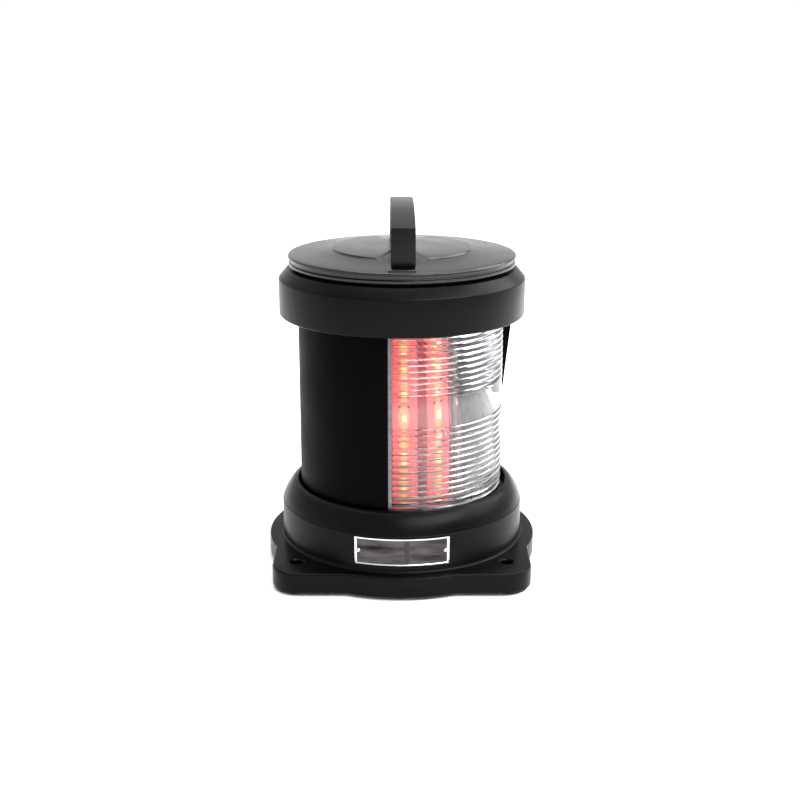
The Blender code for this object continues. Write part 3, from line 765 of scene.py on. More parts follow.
def delivered(
    shape: Shape, name: str, finish: Finish, *stands_for: str, body: Body = Body.HOUSING,
    sharp: float = 32.0,
) -> bpy.types.Object:
    """Make a finished shape a piece of the light.

    Args:
        shape: the shape, which is used up.
        name: the piece's name.
        finish: its finish.
        stands_for: the CAD nodes that it replaces.
        body: the body it rides on.
        sharp: edges sharper than this many degrees stay sharp.

    Returns:
        The piece.
    """
    mesh = bpy.data.meshes.new(name)
    shape.to_mesh(mesh)
    shape.free()
    mesh.materials.append(finish.material())
    mesh.shade_smooth()
    mesh.set_sharp_from_angle(angle=math.radians(sharp))
    piece = bpy.data.objects.new(name, mesh)
    bpy.context.scene.collection.objects.link(piece)
    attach(piece, body.value)
    if stands_for:
        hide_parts(*stands_for)
    LOG.info("%s: %d faces, %s, rides on %s", name, len(mesh.polygons), finish.name, body.value)
    return piece


def carried(node: str, finish: Finish) -> None:
    """Give a CAD node that is shown as it is a finish of its own.

    Args:
        node: the CAD node.
        finish: its finish.
    """
    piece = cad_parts[node]
    for index in range(len(piece.material_slots)):
        piece.material_slots[index].material = finish.material()
    if not piece.material_slots:
        piece.data.materials.append(finish.material())
    LOG.info("%s: carried over in %s", node, finish.name)


def middle(node: str) -> Vector:
    """The centre of a CAD node's box."""
    low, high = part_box(node)
    return (low + high) / 2


def over(node: str, height: float = 0.0) -> Matrix:
    """An upright frame on a CAD node's vertical axis, at a height above the deck."""
    spot = middle(node)
    return Matrix.Translation((spot.x, spot.y, height))


def numbered(stem: str, count: int) -> list[str]:
    """The names of a repeated node, counted from one."""
    return [f"{stem}_{number}" for number in range(1, count + 1)]


def drills(nodes: Sequence[str], radius: float, bottom: float, top: float, steps: int = 24) -> list[Shape]:
    """An upright drill for each CAD node that passes through a piece.

    Args:
        nodes: the CAD nodes.
        radius: the drill's radius.
        bottom: height of the bottom.
        top: height of the top.
        steps: sides round each drill.

    Returns:
        The drills.
    """
    return [drum(radius, bottom, top, steps, over(node)) for node in nodes]


# ---------------------------------------------------------------- fasteners


@dataclass(frozen=True)
class Screw:
    """A machine screw along Z with the underside of its head at the origin and its shank below."""

    head_radius: float
    head_height: float
    shank_radius: float
    length: float
    pitch: float = 0.0008
    thread_depth: float = 0.00025
    countersunk: bool = False

    def thread(self) -> list[Corner]:
        """The shank's corners, running down in thread crests."""
        corners = [(self.shank_radius, 0.0, 0.0)]
        turns = int((self.length - 2 * self.pitch) / self.pitch)
        for turn in range(turns):
            crest = -self.pitch * (turn + 1)
            corners.append((self.shank_radius, crest, 0.0))
            corners.append((self.shank_radius - self.thread_depth, crest - self.pitch / 2, 0.0))
        corners.append((self.shank_radius - self.thread_depth, -self.length, 0.0))
        return corners

    def shape(self, matrix: Matrix) -> Shape:
        """The screw in its place, with a hexagon socket in its head.

        Args:
            matrix: where it goes.

        Returns:
            The finished shape.
        """
        if self.countersunk:
            head = [(0.0, self.head_height, 0.0), (self.head_radius, self.head_height, 0.0)]
        else:
            rim = self.head_height * 0.35
            head = [
                (0.0, self.head_height, 0.0), (self.head_radius * 0.55, self.head_height, 0.0006),
                (self.head_radius, rim, 0.0004), (self.head_radius, 0.0, 0.0001),
            ]
        body = turned([*head, *self.thread(), (0.0, -self.length, 0.0)], steps=SMALL, closed=False)
        socket = drum(self.head_radius * 0.45, self.head_height * 0.35, self.head_height + MM, steps=6)
        made = combined(body, [socket])
        bmesh.ops.transform(made, matrix=matrix, verts=made.verts)
        return made


@dataclass(frozen=True)
class Nut:
    """A plain hexagon nut between two heights, its corners chamfered top and bottom."""

    corner_radius: float
    bore: float

    def shape(self, node: str) -> Shape:
        """The nut in a CAD node's place.

        Args:
            node: the CAD node.

        Returns:
            The finished shape.
        """
        bottom, top = (corner.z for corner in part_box(node))
        flat = self.corner_radius * math.cos(math.pi / 6)
        chamfer = (self.corner_radius - flat) * math.tan(math.radians(30))
        land = flat * 0.98
        limit = turned(
            [(self.corner_radius, bottom + chamfer, 0.0), (self.corner_radius, top - chamfer, 0.0),
             (land, top, 0.0), (self.bore, top, 0.0), (self.bore, bottom, 0.0), (land, bottom, 0.0)],
            steps=SMALL + 16, matrix=over(node),
        )
        bar = drum(self.corner_radius, bottom - MM, top + MM, steps=6, matrix=over(node))
        return combined(limit, [bar], Join.KEEP)


def fitted_screw(
    node: str, name: str, head: float, shank: float, body: Body = Body.HOUSING, head_up: bool = False,
    countersunk: bool = False,
) -> None:
    """Make the screw that stands for a CAD node, to the length and head width of its box.

    Args:
        node: the CAD node.
        name: the piece's name.
        head: height of the head.
        shank: radius of the shank.
        body: the body it rides on.
        head_up: whether the head is at the top.
        countersunk: whether the head is a flat disc in a countersink.
    """
    low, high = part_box(node)
    screw = Screw((high.x - low.x) / 2, head, shank, high.z - low.z - head, countersunk=countersunk)
    place = over(node, high.z - head if head_up else low.z + head)
    if not head_up:
        place = place @ Matrix.Rotation(math.pi, 4, "X")
    delivered(screw.shape(place), name, STEEL, node, body=body)


# ---------------------------------------------------------------- the base


@dataclass
class MountingBase:
    """The moulded base: a four-eared flange, a round wall under a sloping shoulder, and the inner deck."""

    flange_bottom: float = 0.0030
    flange_top: float = 0.0218
    lobe_radius: float = 0.1257
    half_width: float = 0.1160
    ear_radius: float = 0.0260
    bore_radius: float = 0.0990
    wall_radius: float = 0.1127
    wall_inner: float = 0.1065
    wall_top: float = 0.0551
    lip_inner: float = 0.0972
    lip_top: float = 0.0745
    deck_underside: float = 0.0570
    deck_top: float = 0.0630
    wire_hole: float = 0.0120
    bolt_spot: tuple[float, float] = (0.0940, 0.0870)
    bolt_radius: float = 0.0056
    boss_circle: float = 0.0900
    boss_radius: float = 0.0060
    screw_hole: float = 0.0023
    gland_boss: float = 0.0168
    gland_face: float = 0.1150
    gland_hole: float = 0.0103

    def flange_outline(self) -> list[Vector]:
        """A rounded square with a larger circle's lobes showing through its four sides."""
        lobe = math.degrees(math.acos(self.half_width / self.lobe_radius))
        inset = self.half_width - self.ear_radius
        points = []
        for side in range(4):
            turn = Matrix.Rotation(side * math.pi / 2, 2)
            for step in range(25):
                angle = math.radians(lobe * (step / 12 - 1))
                points.append(turn @ Vector((math.cos(angle), math.sin(angle))) * self.lobe_radius)
            for step in range(1, 16):
                angle = math.pi / 2 * step / 16
                corner = Vector((math.cos(angle), math.sin(angle))) * self.ear_radius
                points.append(turn @ (Vector((inset, inset)) + corner))
        return points

    def wall(self) -> Shape:
        """The round wall, shoulder, lip and deck, with a fillet where the wall leaves the flange."""
        foot = self.bore_radius + 0.003
        return turned([
            (0.0983, self.lip_top, 0.0005),
            (0.1015, 0.0733, 0.0015),
            (0.1044, 0.0707, 0.0020),
            (0.1085, 0.0650, 0.0030),
            (0.1109, 0.0598, 0.0020),
            (self.wall_radius - 0.0003, self.wall_top + 0.0003, 0.0002),
            (self.wall_radius, self.wall_top, 0.0002),
            (self.wall_radius, self.flange_top - 0.0002, 0.0028),
            (self.wall_radius + 0.0032, self.flange_top - 0.0004, 0.0),
            (self.wall_radius + 0.0032, 0.0080, 0.0),
            (foot, 0.0080, 0.0),
            (foot, 0.0170, 0.0),
            (self.wall_inner, 0.0230, 0.0),
            (self.wall_inner, self.deck_underside - 0.003, 0.001),
            (self.wall_inner - 0.003, self.deck_underside, 0.001),
            (self.wire_hole, self.deck_underside, 0.0006),
            (self.wire_hole, self.deck_top, 0.0006),
            (self.lip_inner, self.deck_top, 0.0008),
            (self.lip_inner, self.lip_top - 0.0008, 0.0003),
        ])

    def build(self) -> None:
        """Mould the base in one piece."""
        flange = eased(prism(self.flange_outline(), self.flange_bottom, self.flange_top), 0.0018, 5, 40)
        bolt = [
            (0.0, 0.030, 0.0), (self.bolt_radius + 0.0020, 0.030, 0.0),
            (self.bolt_radius + 0.0012, self.flange_top + 0.0002, 0.0),
            (self.bolt_radius, self.flange_top - 0.0012, 0.0005),
            (self.bolt_radius, -0.002, 0.0), (0.0, -0.002, 0.0),
        ]
        cutters = [drum(self.bore_radius, 0.0, 0.030, FINE)]
        for sx, sy in product((1, -1), (1, -1)):
            place = Matrix.Translation((sx * self.bolt_spot[0], sy * self.bolt_spot[1], 0.0))
            cutters.append(turned(bolt, MEDIUM, closed=False, matrix=place))
        flange = combined(flange, cutters)
        seat = rearward(middle("gland_body").z)
        root = self.wall_inner - 0.003
        bosses = [turned(
            [(0.0, self.gland_face, 0.0), (self.gland_boss - 0.0008, self.gland_face, 0.0008),
             (self.gland_boss, 0.1080, 0.0), (self.gland_boss, root, 0.0), (0.0, root, 0.0)],
            MEDIUM, closed=False, matrix=seat,
        )]
        spots = [Matrix.Translation(polar(self.boss_circle, 45 + 90 * screw)) for screw in range(4)]
        boss_top = self.deck_underside + 0.002
        bosses += [drum(self.boss_radius, self.flange_bottom, boss_top, SMALL, spot) for spot in spots]
        base = combined(self.wall(), [flange, *bosses], Join.UNITE)
        holes = [drum(self.gland_hole, 0.090, 0.130, MEDIUM, seat)]
        holes += [drum(self.screw_hole, -0.01, 0.020, 16, spot) for spot in spots]
        holes += drills(numbered("tie_rod", 3), ROD_BORE, 0.05, 0.07, 16)
        delivered(combined(base, holes), "base_moulding", NYLON, "mounting_base")


@dataclass
class Underside:
    """What closes the base from below: the round cover, its seal and screws, and the four foot pads."""

    cover_edge: float = 0.0006
    relief_inner: float = 0.0560
    relief_outer: float = 0.0600
    screws: int = 4
    screw_head: float = 0.0018
    screw_shank: float = 0.0019
    pads: int = 4
    bolt_spot: tuple[float, float] = (0.0940, 0.0870)
    bolt_hole: float = 0.0060
    gasket_width: float = 0.0034

    def cover(self) -> None:
        """The cover, with a shallow stiffening groove and a countersink for each screw."""
        low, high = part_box("bottom_cover")
        plate = turned(
            [(0.0, high.z, 0.0), (high.x, high.z, self.cover_edge), (high.x, low.z, self.cover_edge),
             (self.relief_outer, low.z, 0.0002), (self.relief_outer - 0.0006, low.z + 0.0006, 0.0002),
             (self.relief_inner + 0.0006, low.z + 0.0006, 0.0002), (self.relief_inner, low.z, 0.0002),
             (0.0, low.z, 0.0)],
            closed=False,
        )
        sink = [
            (0.0, 0.004, 0.0), (0.0023, 0.004, 0.0), (0.0023, 0.0019, 0.0), (0.0047, -0.0005, 0.0),
            (0.0, -0.0005, 0.0),
        ]
        spots = [over(node) for node in numbered("cover_screw", self.screws)]
        cutters = [turned(sink, SMALL, closed=False, matrix=spot) for spot in spots]
        delivered(combined(plate, cutters), "cover_plate", NYLON, "bottom_cover")

    def pad(self, node: str, name: str) -> None:
        """A rubber pad under an ear, its rim rounded, round the bolt.

        Args:
            node: the CAD node.
            name: the piece's name.
        """
        low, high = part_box(node)
        spot = (low + high) / 2
        edge = high.x - spot.x
        pad = turned(
            [(0.0, high.z, 0.0), (edge, high.z, 0.0004), (edge, low.z, 0.0008), (0.0, low.z, 0.0)],
            MEDIUM, closed=False, matrix=over(node),
        )
        x, y = self.bolt_spot
        bolt = Matrix.Translation((math.copysign(x, spot.x), math.copysign(y, spot.y), 0.0))
        pad = combined(pad, [drum(self.bolt_hole, -0.002, 0.006, SMALL, bolt)])
        delivered(pad, name, RUBBER, node)

    def build(self) -> None:
        """Make the underside."""
        self.cover()
        for number in range(1, self.screws + 1):
            fitted_screw(
                f"cover_screw_{number}", f"countersunk_screw_{number}", self.screw_head,
                self.screw_shank, countersunk=True,
            )
        for number in range(1, self.pads + 1):
            self.pad(f"foot_pad_{number}", f"rubber_foot_{number}")
        low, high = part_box("bottom_cover_seal")
        ring = turned(section(high.x - self.gasket_width, high.x, low.z, high.z, 0.0004, 0.0004))
        delivered(ring, "cover_gasket", RUBBER, "bottom_cover_seal")


@dataclass
class CableGland:
    """The nylon cable gland at the rear: hexagon body, locknut inside, seal and ribbed cap nut."""

    seat: float = 0.1150
    thread_radius: float = 0.0097
    thread_pitch: float = 0.0015
    thread_front: float = 0.0190  # from here on, distances along the axis count from the seat outwards
    thread_back: float = -0.0180
    bore: float = 0.0065
    hex_radius: float = 0.0150
    hex_chamfer: float = 0.0010
    cap_radius: float = 0.0119
    cap_end: float = 0.0265
    cap_opening: float = 0.0050
    grips: int = 12

    @property
    def axis(self) -> Matrix:
        """A frame on the gland's seat whose Z runs to the rear."""
        return rearward(middle("gland_body").z, self.seat)

    def body(self) -> Shape:
        """The threaded tube with its hexagon."""
        start = self.thread_front - 0.0005
        back = self.thread_back + 0.0005
        thread = []
        for turn in range(round((start - back) / self.thread_pitch)):
            crest = start - turn * self.thread_pitch
            thread.append((self.thread_radius, crest, 0.0002))
            thread.append((self.thread_radius - 0.0006, crest - self.thread_pitch / 2, 0.0002))
        tube = turned(
            [(self.thread_radius, self.thread_front, 0.0), *thread, (self.thread_radius, back, 0.0002),
             (self.thread_radius - 0.0004, self.thread_back, 0.0), (self.bore, self.thread_back, 0.0003),
             (self.bore, self.thread_front, 0.0003)],
            MEDIUM, matrix=self.axis,
        )
        collar = self.hexagon(0.0003, 0.0043, self.thread_radius - 0.0008)
        return combined(tube, [collar], Join.UNITE)

    def hexagon(self, start: float, end: float, bore: float) -> Shape:
        """A hexagon collar with chamfered corners.

        Args:
            start: where it starts along the axis.
            end: where it ends along the axis.
            bore: radius of the hole.

        Returns:
            The collar.
        """
        land = self.hex_radius - 0.0019
        low, high = start + self.hex_chamfer, end - self.hex_chamfer
        limit = turned(
            [(self.hex_radius, low, 0.0003), (self.hex_radius, high, 0.0003), (land, end, 0.0003),
             (bore, end, 0.0), (bore, start, 0.0), (land, start, 0.0003)],
            MEDIUM, matrix=self.axis,
        )
        bar = eased(drum(self.hex_radius, start - MM, end + MM, 6, self.axis), 0.0004, 2, 40)
        return combined(limit, [bar], Join.KEEP)

    def cap(self, bore: float) -> Shape:
        """The cap nut: a rounded cap over a hexagon, with grip ribs round its nose.

        Args:
            bore: radius of the hole.

        Returns:
            The cap nut.
        """
        shell = turned(
            [(0.0078, self.cap_end, 0.0006), (0.0113, 0.0228, 0.0018), (self.cap_radius, 0.0160, 0.0004),
             (self.cap_radius, 0.0060, 0.0004), (bore, 0.0060, 0.0), (bore, 0.0205, 0.0),
             (self.cap_opening, 0.0225, 0.0), (self.cap_opening, self.cap_end, 0.0006)],
            MEDIUM, matrix=self.axis,
        )
        ribs = []
        for rib in range(self.grips):
            turn = self.axis @ Matrix.Rotation(math.tau * rib / self.grips, 4, "Z")
            place = turn @ Matrix.Translation((0.0115, 0.0, 0.0195))
            ribs.append(eased(block((0.0012, 0.0016, 0.0055), place), 0.0003, 2))
        hexagon = self.hexagon(0.0062, 0.0165, 0.0105)
        return combined(shell, [*ribs, hexagon], Join.UNITE)

    def build(self) -> None:
        """Make the gland's four pieces about their common axis."""
        bore = self.thread_radius + 0.0003
        delivered(self.body(), "gland_hexagon_body", NYLON, "gland_body")
        delivered(self.cap(bore), "gland_cap_nut", NYLON, "gland_nut")
        low, high = (corner.y - self.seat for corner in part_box("gland_seal"))
        edge = self.bore - 0.0003
        seal = turned(
            [(edge, high, 0.0006), (edge, low, 0.0004), (0.0040, low, 0.0004), (0.0040, high, 0.0006)],
            MEDIUM, matrix=self.axis,
        )
        delivered(seal, "gland_sealing_ring", RUBBER, "gland_seal")
        low, high = (corner.y - self.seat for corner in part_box("gland_locknut"))
        delivered(self.hexagon(low, high, bore), "gland_inner_locknut", NYLON, "gland_locknut")


@dataclass
class RatingPlate:
    """The curved rating plate on the front wall: a bright raised border round a sunk plain field, whose
    dark tone and black bar are partly painted reflection.
    """

    radius: float = 0.1130
    half_angle: float = 21.6
    thickness: float = 0.0008
    border: float = 0.0013
    sunk: float = 0.00025
    rivet_angle: float = 19.8
    bar_middle: float = 0.0040
    bar_half: float = 0.0022

    def build(self) -> None:
        """Form the plate flat, then bend it round the wall."""
        low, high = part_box("rating_plate")
        width = 2 * math.radians(self.half_angle) * self.radius
        height = high.z - low.z
        shape = bmesh.new()
        bmesh.ops.create_grid(shape, x_segments=80, y_segments=8, size=0.5)
        bmesh.ops.scale(shape, vec=(width, height, 1.0), verts=shape.verts)
        face_up = raised(shape, shape.faces[:], (0, 0, self.thickness))
        for width, depth in ((self.border, 0.0), (0.0003, -self.sunk)):
            bmesh.ops.inset_region(shape, faces=face_up, thickness=width, depth=depth, use_even_offset=True)
        bmesh.ops.recalc_face_normals(shape, faces=shape.faces)
        rim = [edge for edge in shape.edges if edge.is_manifold and edge.calc_face_angle() > 1.0]
        bmesh.ops.bevel(
            shape, geom=rim, offset=0.0002, segments=2, profile=0.5, affect="EDGES", material=-1,
            clamp_overlap=True,
        )
        floor = self.thickness - self.sunk
        # The sunk field is etched dark and its middle strip is the black bar: painted dark reflection
        # across the plate's middle.
        field = [face for face in shape.faces if abs(face.calc_center_median().z - floor) < 1e-6]
        for face in field:
            in_bar = abs(face.calc_center_median().x - self.bar_middle) < self.bar_half
            face.material_index = 2 if in_bar else 1
        centre = (low.z + high.z) / 2
        for vert in shape.verts:
            bearing = math.degrees(vert.co.x / self.radius)
            vert.co = polar(self.radius + vert.co.z, bearing, centre + vert.co.y)
        plate = delivered(shape, "rating_plate_blank", BRUSHED_PLATE, "rating_plate")
        plate.data.materials.append(ETCHED_FIELD_PAINTED_REFLECTION.material())
        plate.data.materials.append(ENAMEL_BAR_PAINTED_REFLECTION.material())
        rivet = [
            (0.0, 0.0023, 0.0), (0.0012, 0.0021, 0.0006), (0.0021, 0.0010, 0.0002),
            (0.0021, 0.0007, 0.0001), (0.0010, 0.0007, 0.0), (0.0010, 0.0001, 0.0), (0.0, 0.0001, 0.0),
        ]
        for number, bearing in ((1, -self.rivet_angle), (2, self.rivet_angle)):
            place = outward(self.radius, bearing, centre) @ Matrix.Rotation(math.pi / 2, 4, "Y")
            head = turned(rivet, SMALL, closed=False, matrix=place)
            delivered(head, f"dome_rivet_{number}", ALUMINIUM, f"plate_rivet_{number}")


# ---------------------------------------------------------------- lens and screen


@dataclass
class DrumLens:
    """The clear drum lens: a bulged belt at lamp height with prism ribs above and below it."""

    radius: float = 0.0931
    bore: float = 0.0881
    belt_bottom: float = 0.1470
    belt_top: float = 0.1725
    ribs_top: float = 0.2330
    ribs_bottom: float = 0.0730
    upper_ribs: int = 11
    lower_ribs: int = 13
    belt_bulge: float = 0.0010
    near_depth: float = 0.0012
    far_depth: float = 0.0022
    tip: float = 0.00015
    belt_steps: int = 8
    seal_inner: float = 0.0867

    def rib(self, number: int, count: int, belt: float, end: float) -> list[Corner]:
        """One prism rib's corners from the belt outwards: a short riser, then a long bent slope.

        Args:
            number: its number.
            count: how many ribs share the height.
            belt: height at which the smooth belt ends.
            end: height at which the last rib ends.

        Returns:
            The corners.
        """
        pitch = (end - belt) / count
        depth = self.near_depth + (self.far_depth - self.near_depth) * (number + 0.5) / count
        start = belt + number * pitch
        slope = ((0.0, 1.0), (0.16, 0.0), (0.62, 0.22), (0.86, 0.66))
        return [(self.radius - depth * sunk, start + pitch * along, self.tip) for along, sunk in slope]

    def outside(self) -> list[Corner]:
        """The ribbed outer side from top to bottom."""
        low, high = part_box("lens")
        corners = [(self.radius, high.z, 0.0004), (self.radius, self.ribs_top + 0.0005, 0.0002)]
        for rib in reversed(range(self.upper_ribs)):
            corners += reversed(self.rib(rib, self.upper_ribs, self.belt_top, self.ribs_top))
        for step in range(self.belt_steps + 1):
            across = step / self.belt_steps * 2 - 1
            height = self.belt_top + (self.belt_bottom - self.belt_top) * step / self.belt_steps
            corners.append((self.radius - self.belt_bulge * across * across, height, 0.0))
        for rib in range(self.lower_ribs):
            corners += self.rib(rib, self.lower_ribs, self.belt_bottom, self.ribs_bottom)
        corners += [(self.radius, self.ribs_bottom - 0.0005, 0.0002), (self.radius, low.z, 0.0004)]
        return corners

    def seal(self, node: str, name: str) -> None:
        """A rubber ring between the lens and its seat, slightly barrelled by the clamping.

        Args:
            node: the CAD node.
            name: the piece's name.
        """
        low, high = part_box(node)
        centre = (low.z + high.z) / 2
        edge = high.x - 0.0002
        ring = turned([
            (edge, high.z, 0.0004), (high.x, centre, 0.0008), (edge, low.z, 0.0004),
            (self.seal_inner, low.z, 0.0004), (self.seal_inner - 0.0002, centre, 0.0008),
            (self.seal_inner, high.z, 0.0004),
        ])
        delivered(ring, name, RUBBER, node)

    def build(self) -> None:
        """Turn the lens and its two seals."""
        low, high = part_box("lens")
        lens = turned([*self.outside(), (self.bore, low.z, 0.0004), (self.bore, high.z, 0.0004)], steps=192)
        delivered(lens, "ribbed_drum_lens", LENS_CLEAR, "lens", sharp=24)
        self.seal("lower_lens_seal", "lower_lens_gasket")
        self.seal("upper_lens_seal", "upper_lens_gasket")


@dataclass
class SectorScreen:
    """The black screen round the dark sector, with a tapering fin on its aft edge."""

    inner: float = 0.0936
    outer: float = 0.0949
    start: float = 105.2
    end: float = 354.6
    fin_height: float = 0.0135
    fin_foot: float = 0.1150
    fin_width: float = 1.6
    fin_top: float = 0.2315
    hem_width: float = 1.9

    def build(self) -> None:
        """Bend the sheet round the lens, set the fin on its edge and leave its inside and hem bare."""
        low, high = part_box("sector_screen")
        sheet = section(self.inner, self.outer, low.z, high.z, 0.0003, 0.0003)
        root = self.inner + 0.0004
        tip = self.outer + self.fin_height
        fin = swept(
            [(tip, self.fin_top, 0.0006), (tip, (self.fin_top + self.fin_foot) / 2, 0.0),
             (self.outer + 0.0002, self.fin_foot, 0.0), (root, self.fin_foot, 0.0),
             (root, self.fin_top, 0.0)],
            self.start + 0.03, self.start + self.fin_width, 3,
        )
        for vert in fin.verts:
            reach = vert.co.xy.length
            share = (vert.co.z - self.fin_foot) / (self.fin_top - self.fin_foot)
            if reach > self.outer + 0.0003:
                vert.co.xy *= (self.outer + self.fin_height * share) / reach
        shape = combined(swept(sheet, self.start, self.end, 132), [fin], Join.UNITE)
        hem = polar(1.0, self.end - self.hem_width)
        for face in shape.faces:
            spot = face.calc_center_median()
            inward = face.normal.xy.dot(spot.xy.normalized()) < -0.7
            past_hem = hem.x * spot.y - hem.y * spot.x > 0 and spot.y < 0
            face.material_index = 1 if inward or past_hem else 0
        screen = delivered(shape, "black_screen", SCREEN_PAINT, "sector_screen")
        screen.data.materials.append(SHEET_ALUMINIUM.material())


# ---------------------------------------------------------------- ring, lid and handle


@dataclass
class CapRing:
    """The heavy ring on top of the lens, with the bayonet lugs in its throat."""

    radius: float = 0.1120
    bottom: float = 0.2330
    wall_top: float = 0.2658
    top: float = 0.2748
    top_radius: float = 0.1040
    socket_radius: float = 0.0973
    socket_top: float = 0.2390
    shelf_top: float = 0.2440
    shelf_radius: float = 0.0730
    throat: float = 0.0900
    lug_radius: float = 0.0840
    lug_bottom: float = 0.2620
    lug_top: float = 0.2670
    lug_root: float = 0.0015
    lug_angle: float = 40.0

    def build(self) -> None:
        """Turn the ring, add its lugs and drill it for the tie rods."""
        ring = turned([
            (self.top_radius, self.top, 0.0007),
            (self.radius, self.wall_top, 0.0009),
            (self.radius, self.bottom, 0.0014),
            (self.socket_radius, self.bottom, 0.0008),
            (self.socket_radius, self.socket_top, 0.0004),
            (self.shelf_radius, self.socket_top, 0.0006),
            (self.shelf_radius, self.shelf_top, 0.0006),
            (self.throat, self.shelf_top, 0.0008),
            (self.throat, self.top, 0.0008),
        ])
        root = self.throat + self.lug_root
        lug = section(self.lug_radius, root, self.lug_bottom, self.lug_top, inner_edge=0.0006)
        ring = combined(ring, lugs(lug, 0, LUGS, self.lug_angle), Join.UNITE)
        holes = drills(numbered("tie_rod", 3), ROD_BORE, 0.23, 0.25)
        delivered(combined(ring, holes), "top_ring", NYLON, "cap_ring")


@dataclass
class BayonetLid:
    """The lid: a gently domed cap with a raised disc and a grooved rim, and the lugged skirt inside it."""

    radius: float = 0.1034
    bottom: float = 0.2778
    edge_top: float = 0.2871
    disc_radius: float = 0.0640
    disc_top: float = 0.2927
    disc_foot: float = 0.2911
    shoulder_radius: float = 0.0900
    shoulder_top: float = 0.2884
    crown: float = 0.2936
    skirt_radius: float = 0.0825
    skirt_inner: float = 0.0790
    skirt_bottom: float = 0.2530
    skirt_flange: float = 0.0841
    flange_bottom: float = 0.2797
    recess_radius: float = 0.0845
    recess_top: float = 0.2830
    recess_crown: float = 0.2880
    lug_radius: float = 0.0888
    lug_top: float = 0.2590
    lug_angle: float = 36.0
    pad_width: float = 0.0240
    pad_top: float = 0.2893
    pad_inner: float = 0.0612
    pad_outer: float = 0.1012
    gate_half_width: float = 0.0235  # the disc's step runs out this far either side of the handle

    def cap(self) -> Shape:
        """The domed cap with its grooved rim and the recess beneath."""
        return turned([
            (0.0, self.crown, 0.0),
            (0.0320, 0.2933, 0.0),
            (self.disc_radius - 0.0008, self.disc_top, 0.0006),
            (self.disc_radius, self.disc_foot, 0.0005),
            (self.shoulder_radius, self.shoulder_top, 0.006),
            (self.radius - 0.0012, self.edge_top, 0.0006),
            (self.radius, self.edge_top - 0.0012, 0.0005),
            (self.radius, 0.2848, 0.0004),
            (self.radius - 0.0026, 0.2840, 0.0003),
            (self.radius - 0.0026, 0.2808, 0.0003),
            (self.radius - 0.0008, 0.2800, 0.0003),
            (self.radius - 0.0008, self.bottom, 0.0004),
            (0.0980, self.bottom, 0.0003),
            (0.0955, 0.2799, 0.0006),
            (0.0930, self.bottom, 0.0003),
            (self.recess_radius, self.bottom, 0.0004),
            (self.recess_radius, self.recess_top, 0.0008),
            (0.0, self.recess_crown, 0.0),
        ], steps=240, closed=False)

    def fade_step(self, shape: Shape) -> None:
        """Let the disc's step run out into the dome on both sides of the handle's seats.

        Args:
            shape: the cap, which is changed.
        """
        inner = self.disc_radius - 0.0150
        for vert in shape.verts:
            reach = vert.co.xy.length
            if not (inner < reach < self.disc_radius + 0.0001 and vert.co.z > self.disc_foot - 0.0001):
                continue
            side = (self.gate_half_width - abs(vert.co.x)) / 0.006
            share = min(1.0, max(0.0, side))
            ramp = (reach - inner) / (self.disc_radius - inner)
            smooth = self.crown + (self.disc_foot - self.crown) * ramp ** 1.5
            vert.co.z += (min(vert.co.z, smooth) - vert.co.z) * share

    def shell(self) -> None:
        """The cap with its step faded and the handle's seats on it."""
        cap = self.cap()
        self.fade_step(cap)
        extras = []
        length = self.pad_outer - self.pad_inner
        for side in (1, -1):
            place = Matrix.Translation((0, side * (self.pad_inner + length / 2), self.pad_top - 0.0020))
            extras.append(eased(block((self.pad_width, length, 0.0040), place), 0.0006, 3))
        cap = combined(cap, extras, Join.UNITE)
        holes = drills(numbered("handle_screw", 2), HANDLE_SCREW_BORE, 0.27, 0.30)
        delivered(combined(cap, holes), "domed_lid", POLISHED_NYLON, "lid", body=Body.LID)

    def skirt(self) -> None:
        """The flanged skirt that is bonded into the recess, with its three bayonet lugs."""
        top = self.recess_top - 0.0003
        ring = turned([
            (self.skirt_flange, top, 0.0004), (self.skirt_flange, self.flange_bottom, 0.0004),
            (self.skirt_radius, self.flange_bottom, 0.0005), (self.skirt_radius, self.skirt_bottom, 0.0006),
            (self.skirt_inner, self.skirt_bottom, 0.0006), (self.skirt_inner, top, 0.0006),
        ])
        root = self.skirt_radius - 0.0015
        lug = section(root, self.lug_radius, self.skirt_bottom + 0.001, self.lug_top, outer_edge=0.0006)
        skirt = combined(ring, lugs(lug, 60, LUGS, self.lug_angle), Join.UNITE)
        delivered(skirt, "lugged_skirt", NYLON, "bayonet_skirt", body=Body.LID)

    def seal(self) -> None:
        """The round rubber cord under the lid's rim."""
        low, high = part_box("lid_seal")
        bead = (high.z - low.z) / 2
        centre = (high.z + low.z) / 2
        path = high.x - bead
        angles = [math.tau * step / 16 for step in range(16)]
        corners = [(path + bead * math.cos(a), centre - bead * math.sin(a), 0.0) for a in angles]
        delivered(turned(corners), "lid_sealing_cord", RUBBER, "lid_seal", body=Body.SEAL)

    def build(self) -> None:
        """Make the lid's three pieces."""
        self.shell()
        self.skirt()
        self.seal()


